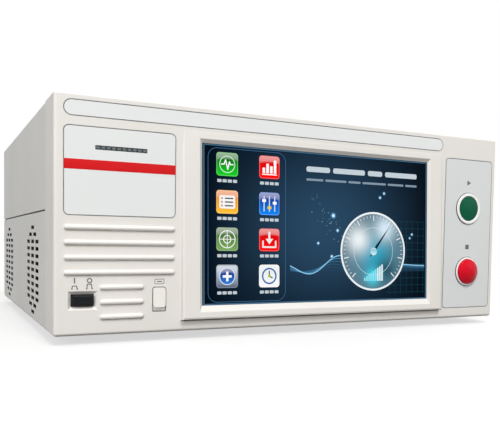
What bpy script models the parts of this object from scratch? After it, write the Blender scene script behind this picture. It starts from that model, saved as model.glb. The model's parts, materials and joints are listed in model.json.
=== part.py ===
"""Electrical safety analyzer: a bench instrument with a tilted touch display.

X runs to the right, the front faces -Y and Z is up. The origin lies on the
surface that the feet stand on, under the middle of the whole instrument.
Sizes that start "from the left", "depth" and "height" are measured from the
left edge, the front face and the underside of the housing.
"""

import math

import bmesh
import bpy
from mathutils import Matrix, Vector

MM = 0.001
X_AXIS, Y_AXIS, Z_AXIS = range(3)

# Housing
HOUSING_WIDTH = 430 * MM
HOUSING_HEIGHT = 177 * MM
HOUSING_DEPTH = 369 * MM
CORNER_RADIUS = 2.5 * MM
FOOT_HEIGHT = 7 * MM
GAP = 0.3 * MM
OVERSHOOT = 1 * MM
MERGE_DISTANCE = 0.001 * MM

# Front bezel
BEZEL_DEPTH = 38 * MM
BEZEL_WALL = 3 * MM
BOSS_RADIUS = 4 * MM
BOSS_INSET = 8 * MM
OVERLAY_SHEET = 0.5 * MM
OVERLAY_PROUD = 0.1 * MM

# Raised display frame, which leans back
FRAME_TO_WARNING = 5.35 * MM
FRAME_TO_BUTTONS = 4.45 * MM
FRAME_TO_TITLE = 3.7 * MM
FRAME_BOTTOM = 9 * MM
SCREEN_BORDER_SIDE = 17.05 * MM
SCREEN_BORDER_TOP = 7.7 * MM
SCREEN_BORDER_BOTTOM = 11 * MM
FRAME_SINK = 2.1 * MM
FRAME_PROUD_TOP = 0.2 * MM
FRAME_PROUD_BOTTOM = 5 * MM
FRAME_CHAMFER = 1.8 * MM
BEVEL_SIDE = 2.6 * MM
BEVEL_TOP = 3 * MM
BEVEL_BOTTOM = 5 * MM
BEVEL_DEPTH = 2.2 * MM
LIP_THICKNESS = 0.5 * MM

# Display stack, front to back
GLASS_BORDER = 6 * MM
GLASS_THICKNESS = 1.8 * MM
PANEL_BORDER = 4.5 * MM
PANEL_THICKNESS = 6 * MM
BRACKET_SHEET = 1.2 * MM
BRACKET_BORDER = 16 * MM
BRACKET_FLANGE = 6 * MM
DRIVER_BOARD_WIDTH = 120 * MM
DRIVER_BOARD_HEIGHT = 70 * MM
DRIVER_BOARD_STANDOFF = 5 * MM

# Title strip
TITLE_LEFT = 7.1 * MM
TITLE_TO_TOP = 4.2 * MM
TITLE_TALL = 11.6 * MM
TITLE_END_FLAT = 0.2 * MM

# Warning panel and its lamp
WARNING_LEFT = 7.1 * MM
WARNING_RIGHT = 92 * MM
WARNING_BOTTOM = 89.2 * MM
WARNING_TO_TITLE = 7 * MM
WARNING_RADIUS = 3.8 * MM
LAMP_WIDTH = 39.4 * MM
LAMP_SLOT = 3.2 * MM
LAMP_TO_WARNING_TOP = 14.9 * MM
LAMP_FLANGE = 2 * MM
LAMP_BOARD_HEIGHT = 14 * MM
LAMP_COUNT = 10
LAMP_SIZE = 2 * MM

# Raised bars
BAR_RADIUS = 1.95 * MM
BAR_PITCH = 11.13 * MM
TOP_BAR_HEIGHT = 80.2 * MM
LONG_BAR_COUNT = 4
LONG_BAR_LEFT = 7.2 * MM
LONG_BAR_RIGHT = 91.8 * MM
SHORT_BAR_COUNT = 3
SHORT_BAR_LEFT = 33.4 * MM
SHORT_BAR_RIGHT = 67.2 * MM

# Button panel
BUTTON_PANEL_WIDTH = 59.9 * MM
BUTTON_PANEL_MARGIN = 5 * MM
BUTTON_PANEL_BOTTOM = 10 * MM
BUTTON_PANEL_TO_TITLE = 5.8 * MM
BUTTON_PANEL_RADIUS = 3.5 * MM
START_TO_PANEL_TOP = 47.8 * MM
STOP_HEIGHT = 45.6 * MM
CAP_DOME = 1.1 * MM
TALL_CAP_DOME = 4 * MM
CAP_CURVE = ((0.5, 0.15), (0.85, 0.55), (0.96, 1.0))
BUTTON_TRAVEL = 3 * MM
BUTTON_SKIRT = 10 * MM
RING_THICKNESS = 0.9 * MM
RING_CHAMFER = 0.5 * MM
BARREL_WALL = 1 * MM
SWITCH_CLEARANCE = 3 * MM
START_CAP_RADIUS = 11.9 * MM
START_RING_RADIUS = 15.1 * MM
START_CAP_PROUD = 1.5 * MM
STOP_CAP_RADIUS = 11.9 * MM
STOP_RING_RADIUS = 14 * MM
STOP_CAP_PROUD = 7 * MM
LOCK_NUT_RADIUS = 18 * MM
LOCK_NUT_THICKNESS = 3 * MM
SWITCH_BLOCK = 26 * MM
SWITCH_BLOCK_DEPTH = 17 * MM
SWITCH_BLADE_WIDTH = 4 * MM
SWITCH_BLADE_LENGTH = 3 * MM
SWITCH_BLADE_SHEET = 0.8 * MM

# Power switch
POWER_LEFT = 10.3 * MM
POWER_RIGHT = 32 * MM
POWER_BOTTOM = 19.2 * MM
POWER_TOP = 33.2 * MM
POWER_BEVEL = 2.4 * MM
POWER_BEVEL_DEPTH = 2 * MM
POWER_PROUD = 1.2 * MM
POWER_TRAVEL = 3.5 * MM
POWER_CAP_LENGTH = 12 * MM
POWER_CAP_ROUNDING = 1.4 * MM
POWER_BODY_WALL = 3 * MM
POWER_BODY_DEPTH = 26 * MM

# Port and its cover
PORT_LEFT = 74.6 * MM
PORT_RIGHT = 84.4 * MM
PORT_BOTTOM = 16.7 * MM
PORT_TOP = 35 * MM
PORT_RADIUS = 2 * MM
PORT_POCKET_DEPTH = 2.4 * MM
PORT_BACKING = 6 * MM
PORT_BACKING_BORDER = 3 * MM
COVER_PROUD = 1.3 * MM
COVER_HINGE_DEPTH = 1.3 * MM
COVER_HINGE_RADIUS = 0.8 * MM
COVER_PIN_RADIUS = 0.4 * MM
COVER_PIN_LENGTH = 1.2 * MM
COVER_THIN_EDGE = 1.7 * MM
SOCKET_WIDTH = 5.7 * MM
SOCKET_HEIGHT = 13.1 * MM
SOCKET_SHEET = 0.4 * MM
SOCKET_LENGTH = 14 * MM
SOCKET_TONGUE = 1.8 * MM
PORT_BOARD_WIDTH = 22 * MM
PORT_BOARD_HEIGHT = 30 * MM
BOARD_THICKNESS = 1.6 * MM

# Sheet metal
SHEET = 1.2 * MM
SEAM_HEIGHT = 93.6 * MM
SEAM_GAP = 1.2 * MM
SLOT_LENGTH = 18 * MM
SLOT_HEIGHT = 3 * MM
SLOT_PITCH = 27 * MM
SLOT_ROW_PITCH = 6.14 * MM
LOWEST_SLOT = 7.5 * MM
FRONT_VENT_DEPTH = 111 * MM
REAR_VENT_TO_BACK = 62 * MM
SLOTS_BY_ROW = (1, 2) + (3,) * 9 + (2, 1)
REAR_SHEET = 1.5 * MM
REAR_FLANGE = 12 * MM
SUBFRAME_FLANGE = 12 * MM
RAIL_HEIGHT = 18 * MM
RAIL_LEG = 10 * MM
CABLE_WINDOW_WIDTH = 60 * MM
CABLE_WINDOW_TALL = 44 * MM
CABLE_WINDOW_RADIUS = 6 * MM
RAIL_FOLD_RADIUS = 2 * MM
COVER_SCREW_INSET = 35 * MM
COVER_SCREW_SHANK = 1.5 * MM
COVER_SCREW_HEAD = 3 * MM
COVER_SCREW_HEAD_HEIGHT = 1.6 * MM
COVER_SCREW_LENGTH = 6 * MM

# Feet
FOOT_RADIUS = 9 * MM
FOOT_TAPER = 1 * MM
FOOT_INSET = 40 * MM
FRONT_FOOT_DEPTH = 66 * MM
REAR_FOOT_TO_BACK = 40 * MM

# Fan
FAN_SIZE = 92 * MM
FAN_DEPTH = 25 * MM
FAN_WALL = 2.5 * MM
FAN_TO_TOP = 77 * MM
FAN_HUB_RADIUS = 18 * MM
FAN_MOTOR_DEPTH = 4 * MM
FAN_TIP_GAP = 1 * MM
FAN_BLADES = 7
FAN_CHORD = 25 * MM
FAN_ROOT_CHORD = 15 * MM
FAN_BLADE_THICKNESS = 1.6 * MM
FAN_ROOT_PITCH = 52
FAN_TIP_PITCH = 28
FAN_ARM_WIDTH = 5 * MM
FAN_SPINDLE_RADIUS = 1.5 * MM
FAN_SPINDLE_LENGTH = 12 * MM
FAN_SCREW_RADIUS = 2.2 * MM
FAN_SCREW_INSET = 4.75 * MM
GUARD_WIRE = 0.9 * MM
GUARD_RING_COUNT = 3
GUARD_RING_PITCH = 11 * MM
GUARD_TO_BORE = 5.5 * MM
GUARD_EYE_RADIUS = 4 * MM

# Rear connectors
INLET_FROM_SIDE = 45 * MM
INLET_HEIGHT = 42 * MM
INLET_WIDTH = 32 * MM
INLET_TALL = 50 * MM
INLET_FLANGE = 2 * MM
INLET_RADIUS = 2 * MM
INLET_CAVITY_RADIUS = 4 * MM
INLET_BODY_DEPTH = 30 * MM
INLET_BODY_INSET = 1.5 * MM
INLET_CAVITY_WIDTH = 24.4 * MM
INLET_CAVITY_HEIGHT = 16.4 * MM
INLET_CAVITY_DEPTH = 17 * MM
INLET_CAVITY_RISE = 9 * MM
INLET_PIN_TO_MOUTH = 6 * MM
INLET_PIN_SPACING = 7 * MM
INLET_PIN_WIDTH = 2 * MM
INLET_PIN_TALL = 4 * MM
INLET_PIN_STAGGER = 2 * MM
DRAWER_WIDTH = 22 * MM
DRAWER_HEIGHT = 9 * MM
DRAWER_DROP = 14 * MM
DRAWER_LENGTH = 26 * MM
DRAWER_HANDLE = 2 * MM
DRAWER_HANDLE_WIDTH = 13 * MM
DRAWER_TROUGH_LENGTH = 19.5 * MM
DRAWER_TROUGH_TO_BACK = 2.6 * MM
DRAWER_FUSE_RADIUS = 2.5 * MM
OUTLET_FROM_SIDE = 139 * MM
OUTLET_HEIGHT = 40 * MM
OUTLET_WIDTH = 50 * MM
OUTLET_TALL = 36 * MM
OUTLET_PROUD = 3 * MM
OUTLET_RADIUS = 3 * MM
OUTLET_BODY_DEPTH = 22 * MM
OUTLET_SLOT_WIDTH = 3 * MM
OUTLET_SLOT_HEIGHT = 7 * MM
OUTLET_SLOT_SPACING = 9 * MM
OUTLET_SLOT_DEPTH = 11 * MM
OUTLET_SIDE_SLOT_DROP = 4 * MM
OUTLET_MIDDLE_SLOT_RISE = 6 * MM
TERMINAL_FROM_SIDE = 43 * MM
TERMINAL_SPACING = 34 * MM
TERMINAL_TO_TOP = 39 * MM
DRIVE_TERMINAL_DROP = 38 * MM
SENSE_TERMINAL_DROP = 72 * MM
VOLTAGE_TERMINAL_RADIUS = 12 * MM
DRIVE_TERMINAL_RADIUS = 10 * MM
SENSE_TERMINAL_RADIUS = 8 * MM
TERMINAL_FLANGE = 3 * MM
TERMINAL_PROUD = 12 * MM
TERMINAL_TAIL = 20 * MM
TERMINAL_NECK = 0.7
VOLTAGE_BORE = 5 * MM
DRIVE_BORE = 4.4 * MM
SENSE_BORE = 4.1 * MM
BORE_BOTTOM = 3 * MM
NETWORK_TO_TOP = 39 * MM
SERIAL_DROP = 38 * MM
SERIAL_PLATE_WIDTH = 31 * MM
SERIAL_PLATE_HEIGHT = 12.6 * MM
SERIAL_SHELL_WIDTH = 17 * MM
SERIAL_SHELL_HEIGHT = 8.4 * MM
SERIAL_PROUD = 6 * MM
SERIAL_TAIL = 10 * MM
SERIAL_POST_RADIUS = 2.4 * MM
NETWORK_WIDTH = 16 * MM
NETWORK_TALL = 14 * MM
NETWORK_BODY_DEPTH = 18 * MM
NETWORK_CAVITY_WIDTH = 11.8 * MM
NETWORK_CAVITY_HEIGHT = 7.6 * MM
NETWORK_CAVITY_DEPTH = 14.4 * MM
NETWORK_LATCH_DEPTH = 10.8 * MM
NETWORK_LATCH_WIDTH = 5.9 * MM
NETWORK_LATCH_TALL = 3 * MM
EARTH_HEIGHT = 94 * MM
EARTH_STUD_RADIUS = 3 * MM
EARTH_STUD_PROUD = 11 * MM
EARTH_NUT_RADIUS = 6 * MM
EARTH_NUT_THICKNESS = 5 * MM
EARTH_HEAD_THICKNESS = 4 * MM

# Boards and their standoffs
STANDOFF_HEIGHT = 8 * MM
STANDOFF_RADIUS = 3 * MM
STANDOFF_INSET = 6 * MM
CHIP_SINK = 0.5 * MM

# Inner pieces, placed from the walls and from each other
BAY_MARGIN = 14.5 * MM
MAIN_BOARD_DEPTH = 70 * MM
MAIN_BOARD_MARGIN = 15 * MM
BOARD_SPACING = 39 * MM
REAR_BOARD_LENGTH = 96 * MM
BOARD_TO_BACK = 44 * MM
RELAY_PITCH = 34 * MM
RELAY_ROW_PITCH = 27 * MM
RELAY_ROWS = 3
RELAY_WIDTH = 24 * MM
RELAY_LENGTH = 18 * MM
RELAY_TALL = 22 * MM
RELAY_EDGE = 10 * MM
CONNECTOR_LENGTH = 8 * MM
CONNECTOR_TALL = 9 * MM
CHIP_TALL = 2 * MM
PROCESSOR_SIDE = 28 * MM
MEMORY_WIDTH = 20 * MM
MEMORY_LENGTH = 14 * MM
CONVERTER_WIDTH = 18 * MM
CONVERTER_LENGTH = 40 * MM
CONVERTER_TALL = 12 * MM
SUPPLY_FRONT_DEPTH = 14 * MM
SUPPLY_SIDE_GAP = 9.3 * MM
SUPPLY_MIDDLE_GAP = 1.3 * MM
CAPACITOR_LENGTH = 24 * MM
CAPACITOR_TALL = 30 * MM
CHOKE_LENGTH = 22 * MM
CHOKE_TALL = 34 * MM
SUPPLY_COIL_DEPTH = 30 * MM
SUPPLY_COIL_LENGTH = 30 * MM
SUPPLY_COIL_TALL = 28 * MM
SUPPLY_SINK_DEPTH = 54 * MM
SUPPLY_SINK_WIDTH = 10 * MM
SUPPLY_SINK_LENGTH = 30 * MM
SUPPLY_SINK_TALL = 26 * MM
DRIVER_CHIP = 24 * MM
DRIVER_CONNECTOR_WIDTH = 60 * MM
DRIVER_CONNECTOR_TALL = 6 * MM
DRIVER_CONNECTOR_DEPTH = 4 * MM
DRIVER_CONNECTOR_HEIGHT = 20 * MM
DIVIDER_TO_SINK = 19 * MM
DIVIDER_FRONT = 62 * MM
DIVIDER_TO_BACK = 150 * MM
DIVIDER_HEIGHT = 118 * MM
HEAT_SINK_DEPTH = 80 * MM
HEAT_SINK_WIDTH = 66 * MM
HEAT_SINK_LENGTH = 120 * MM
HEAT_SINK_HEIGHT = 62 * MM
HEAT_SINK_BASE = 8 * MM
FIN_THICKNESS = 2 * MM
FIN_PITCH = 8 * MM
CORE_DEPTH = 96 * MM
CORE_WIDTH = 84 * MM
CORE_HEIGHT = 70 * MM
CORE_STACK = 40 * MM
CORE_LIMB = 14 * MM
WINDING_WALL = 16 * MM
WINDING_RADIUS = 4 * MM
POTTED_MARGIN = 26.5 * MM
POTTED_TO_RELAYS = 15 * MM
POTTED_TO_BACK = 136 * MM
POTTED_WIDTH = 78 * MM
POTTED_LENGTH = 84 * MM
POTTED_HEIGHT = 82 * MM
POTTED_RADIUS = 3 * MM
BUSHING_RADIUS = 9 * MM
BUSHING_WAIST = 6.3 * MM
BUSHING_TIP = 3.8 * MM
BUSHING_HEIGHT = 22 * MM
BUSHING_RIB_COUNT = 2
BUSHING_RIB_PITCH = 8 * MM
BUSHING_RIB_TO_TOP = 4.4 * MM
BUSHING_RIB_TALL = 3 * MM

# Places worked out from the sizes above
REAR_PROUD = TERMINAL_PROUD + TERMINAL_FLANGE
FACE_Y = -(HOUSING_DEPTH + REAR_PROUD - STOP_CAP_PROUD) / 2
TITLE_TOP = HOUSING_HEIGHT - TITLE_TO_TOP
TITLE_BOTTOM = TITLE_TOP - TITLE_TALL
WARNING_TOP = TITLE_BOTTOM - WARNING_TO_TITLE
LAMP_HEIGHT = WARNING_TOP - LAMP_TO_WARNING_TOP
BUTTON_PANEL_RIGHT = HOUSING_WIDTH - BUTTON_PANEL_MARGIN
BUTTON_PANEL_LEFT = BUTTON_PANEL_RIGHT - BUTTON_PANEL_WIDTH
BUTTON_PANEL_TOP = TITLE_BOTTOM - BUTTON_PANEL_TO_TITLE
START_HEIGHT = BUTTON_PANEL_TOP - START_TO_PANEL_TOP
FRAME_LEFT = WARNING_RIGHT + FRAME_TO_WARNING
FRAME_RIGHT = BUTTON_PANEL_LEFT - FRAME_TO_BUTTONS
FRAME_WIDTH = FRAME_RIGHT - FRAME_LEFT
FRAME_TOP = TITLE_BOTTOM - FRAME_TO_TITLE
TITLE_RIGHT = FRAME_RIGHT
SCREEN_WIDTH = FRAME_WIDTH - 2 * SCREEN_BORDER_SIDE
SCREEN_BOTTOM = FRAME_BOTTOM + SCREEN_BORDER_BOTTOM
SCREEN_HEIGHT = FRAME_TOP - SCREEN_BORDER_TOP - SCREEN_BOTTOM
DISPLAY_X = (FRAME_LEFT + FRAME_RIGHT - HOUSING_WIDTH) / 2
DISPLAY_HEIGHT = SCREEN_BOTTOM + SCREEN_HEIGHT / 2
SHELL_FRONT = BEZEL_DEPTH + GAP
SUBFRAME_BACK = SHELL_FRONT + SUBFRAME_FLANGE
INNER_HALF_WIDTH = HOUSING_WIDTH / 2 - SHEET - GAP
FLOOR = SHEET
BACK_INSIDE = HOUSING_DEPTH - REAR_SHEET
SEAM_LOW = SEAM_HEIGHT - SEAM_GAP / 2
SEAM_HIGH = SEAM_HEIGHT + SEAM_GAP / 2
OVERLAY_RECESS = OVERLAY_SHEET + GAP - OVERLAY_PROUD
BUTTON_FROM_LEFT = (BUTTON_PANEL_LEFT + BUTTON_PANEL_RIGHT) / 2
FRAME_MIDDLE = (FRAME_BOTTOM + FRAME_TOP) / 2
BARREL_LENGTH = BUTTON_SKIRT + BUTTON_TRAVEL + SWITCH_CLEARANCE
DISPLAY_TILT = math.atan((FRAME_PROUD_BOTTOM - FRAME_PROUD_TOP) / (FRAME_TOP - FRAME_BOTTOM))
DISPLAY_PROUD = ((FRAME_PROUD_BOTTOM + FRAME_PROUD_TOP) / 2
                 - math.tan(DISPLAY_TILT) * (DISPLAY_HEIGHT - FRAME_MIDDLE))
GLASS_FRONT = BEVEL_DEPTH + LIP_THICKNESS + GAP
PANEL_FRONT = GLASS_FRONT + GLASS_THICKNESS + GAP
BRACKET_FRONT = PANEL_FRONT + PANEL_THICKNESS + GAP
DRIVER_BOARD_FRONT = BRACKET_FRONT + BRACKET_SHEET + DRIVER_BOARD_STANDOFF
CAP_BOTTOM = PORT_BOTTOM + GAP + COVER_HINGE_RADIUS
INLET_X = INLET_FROM_SIDE - HOUSING_WIDTH / 2
EARTH_X = INLET_X
OUTLET_X = HOUSING_WIDTH / 2 - OUTLET_FROM_SIDE
SERIAL_X = OUTLET_X
NETWORK_X = OUTLET_X
TERMINAL_X = HOUSING_WIDTH / 2 - TERMINAL_FROM_SIDE
VOLTAGE_TERMINAL_HEIGHT = HOUSING_HEIGHT - TERMINAL_TO_TOP
NETWORK_HEIGHT = HOUSING_HEIGHT - NETWORK_TO_TOP
SERIAL_HEIGHT = NETWORK_HEIGHT - SERIAL_DROP
FAN_X = (INLET_X + INLET_WIDTH / 2 + OUTLET_X - OUTLET_WIDTH / 2) / 2
FAN_HEIGHT = HOUSING_HEIGHT - FAN_TO_TOP
FAN_BORE_RADIUS = FAN_SIZE / 2 - FAN_WALL
HEAT_SINK_X = FAN_X
LEFT_BAY = HEAT_SINK_X - HEAT_SINK_WIDTH / 2 + INNER_HALF_WIDTH
LEFT_BAY_X = LEFT_BAY / 2 - INNER_HALF_WIDTH
DIVIDER_X = HEAT_SINK_X + HEAT_SINK_WIDTH / 2 + DIVIDER_TO_SINK
MAIN_BOARD_LEFT = DIVIDER_X + RAIL_LEG + MAIN_BOARD_MARGIN
MAIN_BOARD_WIDTH = INNER_HALF_WIDTH - MAIN_BOARD_MARGIN - MAIN_BOARD_LEFT
REAR_BOARD_DEPTH = HOUSING_DEPTH - BOARD_TO_BACK - REAR_BOARD_LENGTH
MAIN_BOARD_LENGTH = REAR_BOARD_DEPTH - BOARD_SPACING - MAIN_BOARD_DEPTH
POTTED_X = INNER_HALF_WIDTH - POTTED_MARGIN - POTTED_WIDTH / 2
RELAY_BOARD_LEFT = DIVIDER_X + RAIL_LEG
RELAY_BOARD_RIGHT = POTTED_X - POTTED_WIDTH / 2 - POTTED_TO_RELAYS
RELAY_BOARD_WIDTH = RELAY_BOARD_RIGHT - RELAY_BOARD_LEFT

FINISHES = {
    "cream plastic": ((0.81, 0.79, 0.75), 0.45, 0.0),
    "overlay film": ((0.80, 0.81, 0.81), 0.35, 0.0),
    "button film": ((0.67, 0.69, 0.69), 0.35, 0.0),
    "smoked lens": ((0.03, 0.04, 0.04), 0.15, 0.0),
    "glass": ((0.02, 0.05, 0.10), 0.05, 0.0),
    "display metal": ((0.30, 0.31, 0.32), 0.4, 0.8),
    "zinc plated steel": ((0.62, 0.63, 0.62), 0.4, 0.9),
    "grey painted steel": ((0.73, 0.73, 0.71), 0.5, 0.2),
    "circuit board": ((0.02, 0.14, 0.06), 0.5, 0.0),
    "white plastic": ((0.85, 0.85, 0.84), 0.35, 0.0),
    "green plastic": ((0.0, 0.14, 0.07), 0.25, 0.0),
    "red plastic": ((0.70, 0.01, 0.03), 0.25, 0.0),
    "black plastic": ((0.02, 0.02, 0.022), 0.35, 0.0),
    "black rubber": ((0.02, 0.02, 0.02), 0.8, 0.0),
    "aluminium": ((0.75, 0.76, 0.77), 0.4, 1.0),
    "brass": ((0.75, 0.58, 0.25), 0.3, 1.0),
    "nickel plate": ((0.70, 0.69, 0.66), 0.25, 1.0),
    "core steel": ((0.18, 0.18, 0.19), 0.5, 0.7),
    "winding tape": ((0.62, 0.48, 0.10), 0.5, 0.0),
    "potting resin": ((0.05, 0.05, 0.06), 0.4, 0.0),
}


def x_at(from_left):
    return from_left - HOUSING_WIDTH / 2


def y_at(depth):
    return FACE_Y + depth


def z_at(height):
    return FOOT_HEIGHT + height


def housing_box(left, right, front, back, bottom, top):
    """Two opposite corners of a box, from sizes measured on the housing."""
    return (x_at(left), y_at(front), z_at(bottom)), (x_at(right), y_at(back), z_at(top))


def centred_box(x, width, front, back, height, tall):
    """Two opposite corners of a box that is centred on X and on a height."""
    low = (x - width / 2, y_at(front), z_at(height) - tall / 2)
    high = (x + width / 2, y_at(back), z_at(height) + tall / 2)
    return low, high


def floor_box(x, width, front, length, bottom, tall):
    """Two opposite corners of a box that stands over the chassis floor."""
    low = (x - width / 2, y_at(front), z_at(bottom))
    high = (x + width / 2, y_at(front + length), z_at(bottom + tall))
    return low, high


def clear_scene():
    for item in list(bpy.data.objects):
        bpy.data.objects.remove(item, do_unlink=True)


def new_collection(name):
    collection = bpy.data.collections.new(name)
    bpy.context.scene.collection.children.link(collection)
    return collection


def finish(name):
    """The material of a named finish, made the first time it is asked for."""
    material = bpy.data.materials.get(name)
    if material is None:
        colour, roughness, metallic = FINISHES[name]
        material = bpy.data.materials.new(name)
        material.use_nodes = True
        shader = material.node_tree.nodes["Principled BSDF"]
        shader.inputs["Base Color"].default_value = (*colour, 1.0)
        shader.inputs["Roughness"].default_value = roughness
        shader.inputs["Metallic"].default_value = metallic
        material.diffuse_color = (*colour, 1.0)
    return material


def along(axis):
    """A test that picks the edges that run along one axis."""
    def test(edge):
        run = edge.verts[1].co - edge.verts[0].co
        return abs(run[axis]) > 0.99 * run.length
    return test


def upright_corners_above(height):
    """A test that picks the edges along Y that lie over a height."""
    def test(edge):
        return along(Y_AXIS)(edge) and edge.verts[0].co.z > z_at(height)
    return test


def bordering(axis, side):
    """A test that picks the edges of the faces at one end of an axis."""
    def test(edge):
        return any(face.normal[axis] * side > 0.9 for face in edge.link_faces)
    return test


def every(edge):
    return True


def add_block(bm, low, high, radius=0.0, rounded=every, segments=3):
    """Add a box between two corners, with some of its edges rounded."""
    verts = bmesh.ops.create_cube(bm, size=1.0)["verts"]
    for vert in verts:
        vert.co = Vector([b if c > 0 else a for a, b, c in zip(low, high, vert.co)])
    if radius:
        bm.normal_update()
        edges = [edge for edge in {e for v in verts for e in v.link_edges} if rounded(edge)]
        edges.sort(key=lambda edge: tuple(edge.verts[0].co + edge.verts[1].co))
        bmesh.ops.bevel(bm, geom=edges, offset=radius, segments=segments, profile=0.5,
                        affect="EDGES", clamp_overlap=True)
    return verts


def add_rod(bm, axis, start, length, radius, end_radius=None, sides=24):
    """Add a cylinder or a cone that runs along an axis from its start."""
    turn = {X_AXIS: Matrix.Rotation(math.pi / 2, 4, "Y"),
            Y_AXIS: Matrix.Rotation(-math.pi / 2, 4, "X"),
            Z_AXIS: Matrix.Identity(4)}[axis]
    middle = Vector(start)
    middle[axis] += length / 2
    bmesh.ops.create_cone(bm, cap_ends=True, segments=sides, radius1=radius,
                          radius2=radius if end_radius is None else end_radius,
                          depth=length, matrix=Matrix.Translation(middle) @ turn)


def new_object(name, mesh, collection, origin=(0, 0, 0), parent=None):
    mesh.transform(Matrix.Translation(-Vector(origin)))
    item = bpy.data.objects.new(name, mesh)
    item.location = origin
    item.parent = parent
    collection.objects.link(item)
    return item


def mesh_of(bm, name):
    mesh = bpy.data.meshes.new(name)
    bm.to_mesh(mesh)
    bm.free()
    mesh.shade_smooth()
    mesh.set_sharp_from_angle(angle=math.radians(35))
    return mesh


def part(name, bm, coat, origin=(0, 0, 0), parent=None):
    """Make a named piece, with its origin where it turns or slides."""
    item = new_object(name, mesh_of(bm, name), PARTS, origin, parent)
    item.data.materials.append(finish(coat))
    return item


def tool(name, bm, parent=None):
    """Make a shape that only cuts or joins other pieces."""
    item = new_object(name, mesh_of(bm, name), TOOLS, parent=parent)
    item.hide_render = True
    item.display_type = "WIRE"
    return item


def combine(item, other, operation):
    boolean = item.modifiers.new(other.name, "BOOLEAN")
    boolean.operation = operation
    boolean.solver = "EXACT"
    boolean.object = other


def cut(item, other):
    combine(item, other, "DIFFERENCE")


def fuse(item, other):
    combine(item, other, "UNION")


def sheet_part(name, low, high, open_sides, sheet, coat, radius=0.0, parent=None):
    """Folded sheet metal: a box with open sides, thickened inwards."""
    bm = bmesh.new()
    add_block(bm, low, high)
    bm.normal_update()
    gone = [face for face in bm.faces
            if any(face.normal[axis] * side > 0.9 for axis, side in open_sides)]
    bmesh.ops.delete(bm, geom=gone, context="FACES")
    folds = [edge for edge in bm.edges if len(edge.link_faces) == 2]
    if radius:
        bmesh.ops.bevel(bm, geom=folds, offset=radius, segments=2, profile=0.5, affect="EDGES")
    item = part(name, bm, coat, parent=parent)
    solid = item.modifiers.new("sheet", "SOLIDIFY")
    solid.thickness = sheet
    solid.offset = -1
    solid.use_even_offset = True
    return item


def add_turned(bm, profile, origin, axis, side, steps=24):
    """Add a shape turned about an axis from (radius, distance) pairs.

    The profile runs down the outer side, from its outward end inwards.
    """
    turn = {(X_AXIS, 1): Matrix.Rotation(math.pi / 2, 4, "Y"),
            (Y_AXIS, 1): Matrix.Rotation(-math.pi / 2, 4, "X"),
            (Y_AXIS, -1): Matrix.Rotation(math.pi / 2, 4, "X"),
            (Z_AXIS, 1): Matrix.Identity(4)}[(axis, side)]
    mesh = bpy.data.meshes.new("profile")
    points = [(radius, 0.0, distance) for radius, distance in profile]
    edges = [(i, i + 1) for i in range(len(points) - 1)]
    if profile[0][0] > 0 and profile[-1][0] > 0:
        edges.append((len(points) - 1, 0))
    mesh.from_pydata(points, edges, [])
    carrier = bpy.data.objects.new("profile", mesh)
    TOOLS.objects.link(carrier)
    screw = carrier.modifiers.new("turn", "SCREW")
    screw.axis = "Z"
    screw.steps = screw.render_steps = steps
    screw.use_merge_vertices = True
    screw.merge_threshold = MERGE_DISTANCE
    evaluated = carrier.evaluated_get(bpy.context.evaluated_depsgraph_get())
    turned = bpy.data.meshes.new_from_object(evaluated)
    turned.transform(Matrix.Translation(origin) @ turn)
    bm.from_mesh(turned)
    bpy.data.objects.remove(carrier)
    bpy.data.meshes.remove(turned)
    bmesh.ops.remove_doubles(bm, verts=bm.verts, dist=MERGE_DISTANCE)


def arc(centre, radius, start, end, steps):
    """Points on an arc of a profile, by angles in degrees."""
    for i in range(steps + 1):
        angle = math.radians(start + (end - start) * i / steps)
        yield centre[0] + radius * math.cos(angle), centre[1] + radius * math.sin(angle)


def empty_at(name, location, parent=None):
    item = bpy.data.objects.new(name, None)
    item.location = location
    item.parent = parent
    PARTS.objects.link(item)
    return item


# Front bezel

def display_empty():
    """The middle of the screen on the frame's face, leaning back."""
    place = (DISPLAY_X, y_at(-DISPLAY_PROUD), z_at(DISPLAY_HEIGHT))
    item = empty_at("display_tilt", place)
    item.rotation_euler = (-DISPLAY_TILT, 0, 0)
    return item


def screen_box(border, front, back):
    """A box around the screen, in the leaning display's own axes."""
    half_width = SCREEN_WIDTH / 2 + border
    half_height = SCREEN_HEIGHT / 2 + border
    return (-half_width, front, -half_height), (half_width, back, half_height)


def raised_frame():
    """The wedge that carries the screen, flush at its top and proud below."""
    bm = bmesh.new()
    half = FRAME_WIDTH / 2
    low = (DISPLAY_X - half, y_at(-FRAME_PROUD_BOTTOM), z_at(FRAME_BOTTOM))
    high = (DISPLAY_X + half, y_at(FRAME_SINK), z_at(FRAME_TOP))
    for vert in add_block(bm, low, high):
        if vert.co.y < y_at(0) and vert.co.z > z_at(FRAME_MIDDLE):
            vert.co.y = y_at(-FRAME_PROUD_TOP)
    bm.normal_update()
    front = [edge for edge in bm.edges if bordering(Y_AXIS, -1)(edge)]
    front = [edge for edge in front if min(v.co.z for v in edge.verts) < z_at(FRAME_MIDDLE)]
    bmesh.ops.bevel(bm, geom=front, offset=FRAME_CHAMFER, segments=2, profile=0.5,
                    affect="EDGES")
    return tool("raised_frame", bm)


def screen_bevel(display):
    """The sloping border of the window, twice as deep outside the face."""
    bm = bmesh.new()
    low, high = screen_box(0.0, -BEVEL_DEPTH, BEVEL_DEPTH)
    for vert in add_block(bm, low, high):
        if vert.co.y < 0:
            vert.co.x += math.copysign(2 * BEVEL_SIDE, vert.co.x)
            vert.co.z += 2 * BEVEL_TOP if vert.co.z > 0 else -2 * BEVEL_BOTTOM
    return tool("screen_bevel", bm, display)


def screen_hole(display):
    bm = bmesh.new()
    add_block(bm, *screen_box(0.0, -BEVEL_DEPTH, BEZEL_DEPTH / 2))
    return tool("screen_hole", bm, display)


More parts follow.
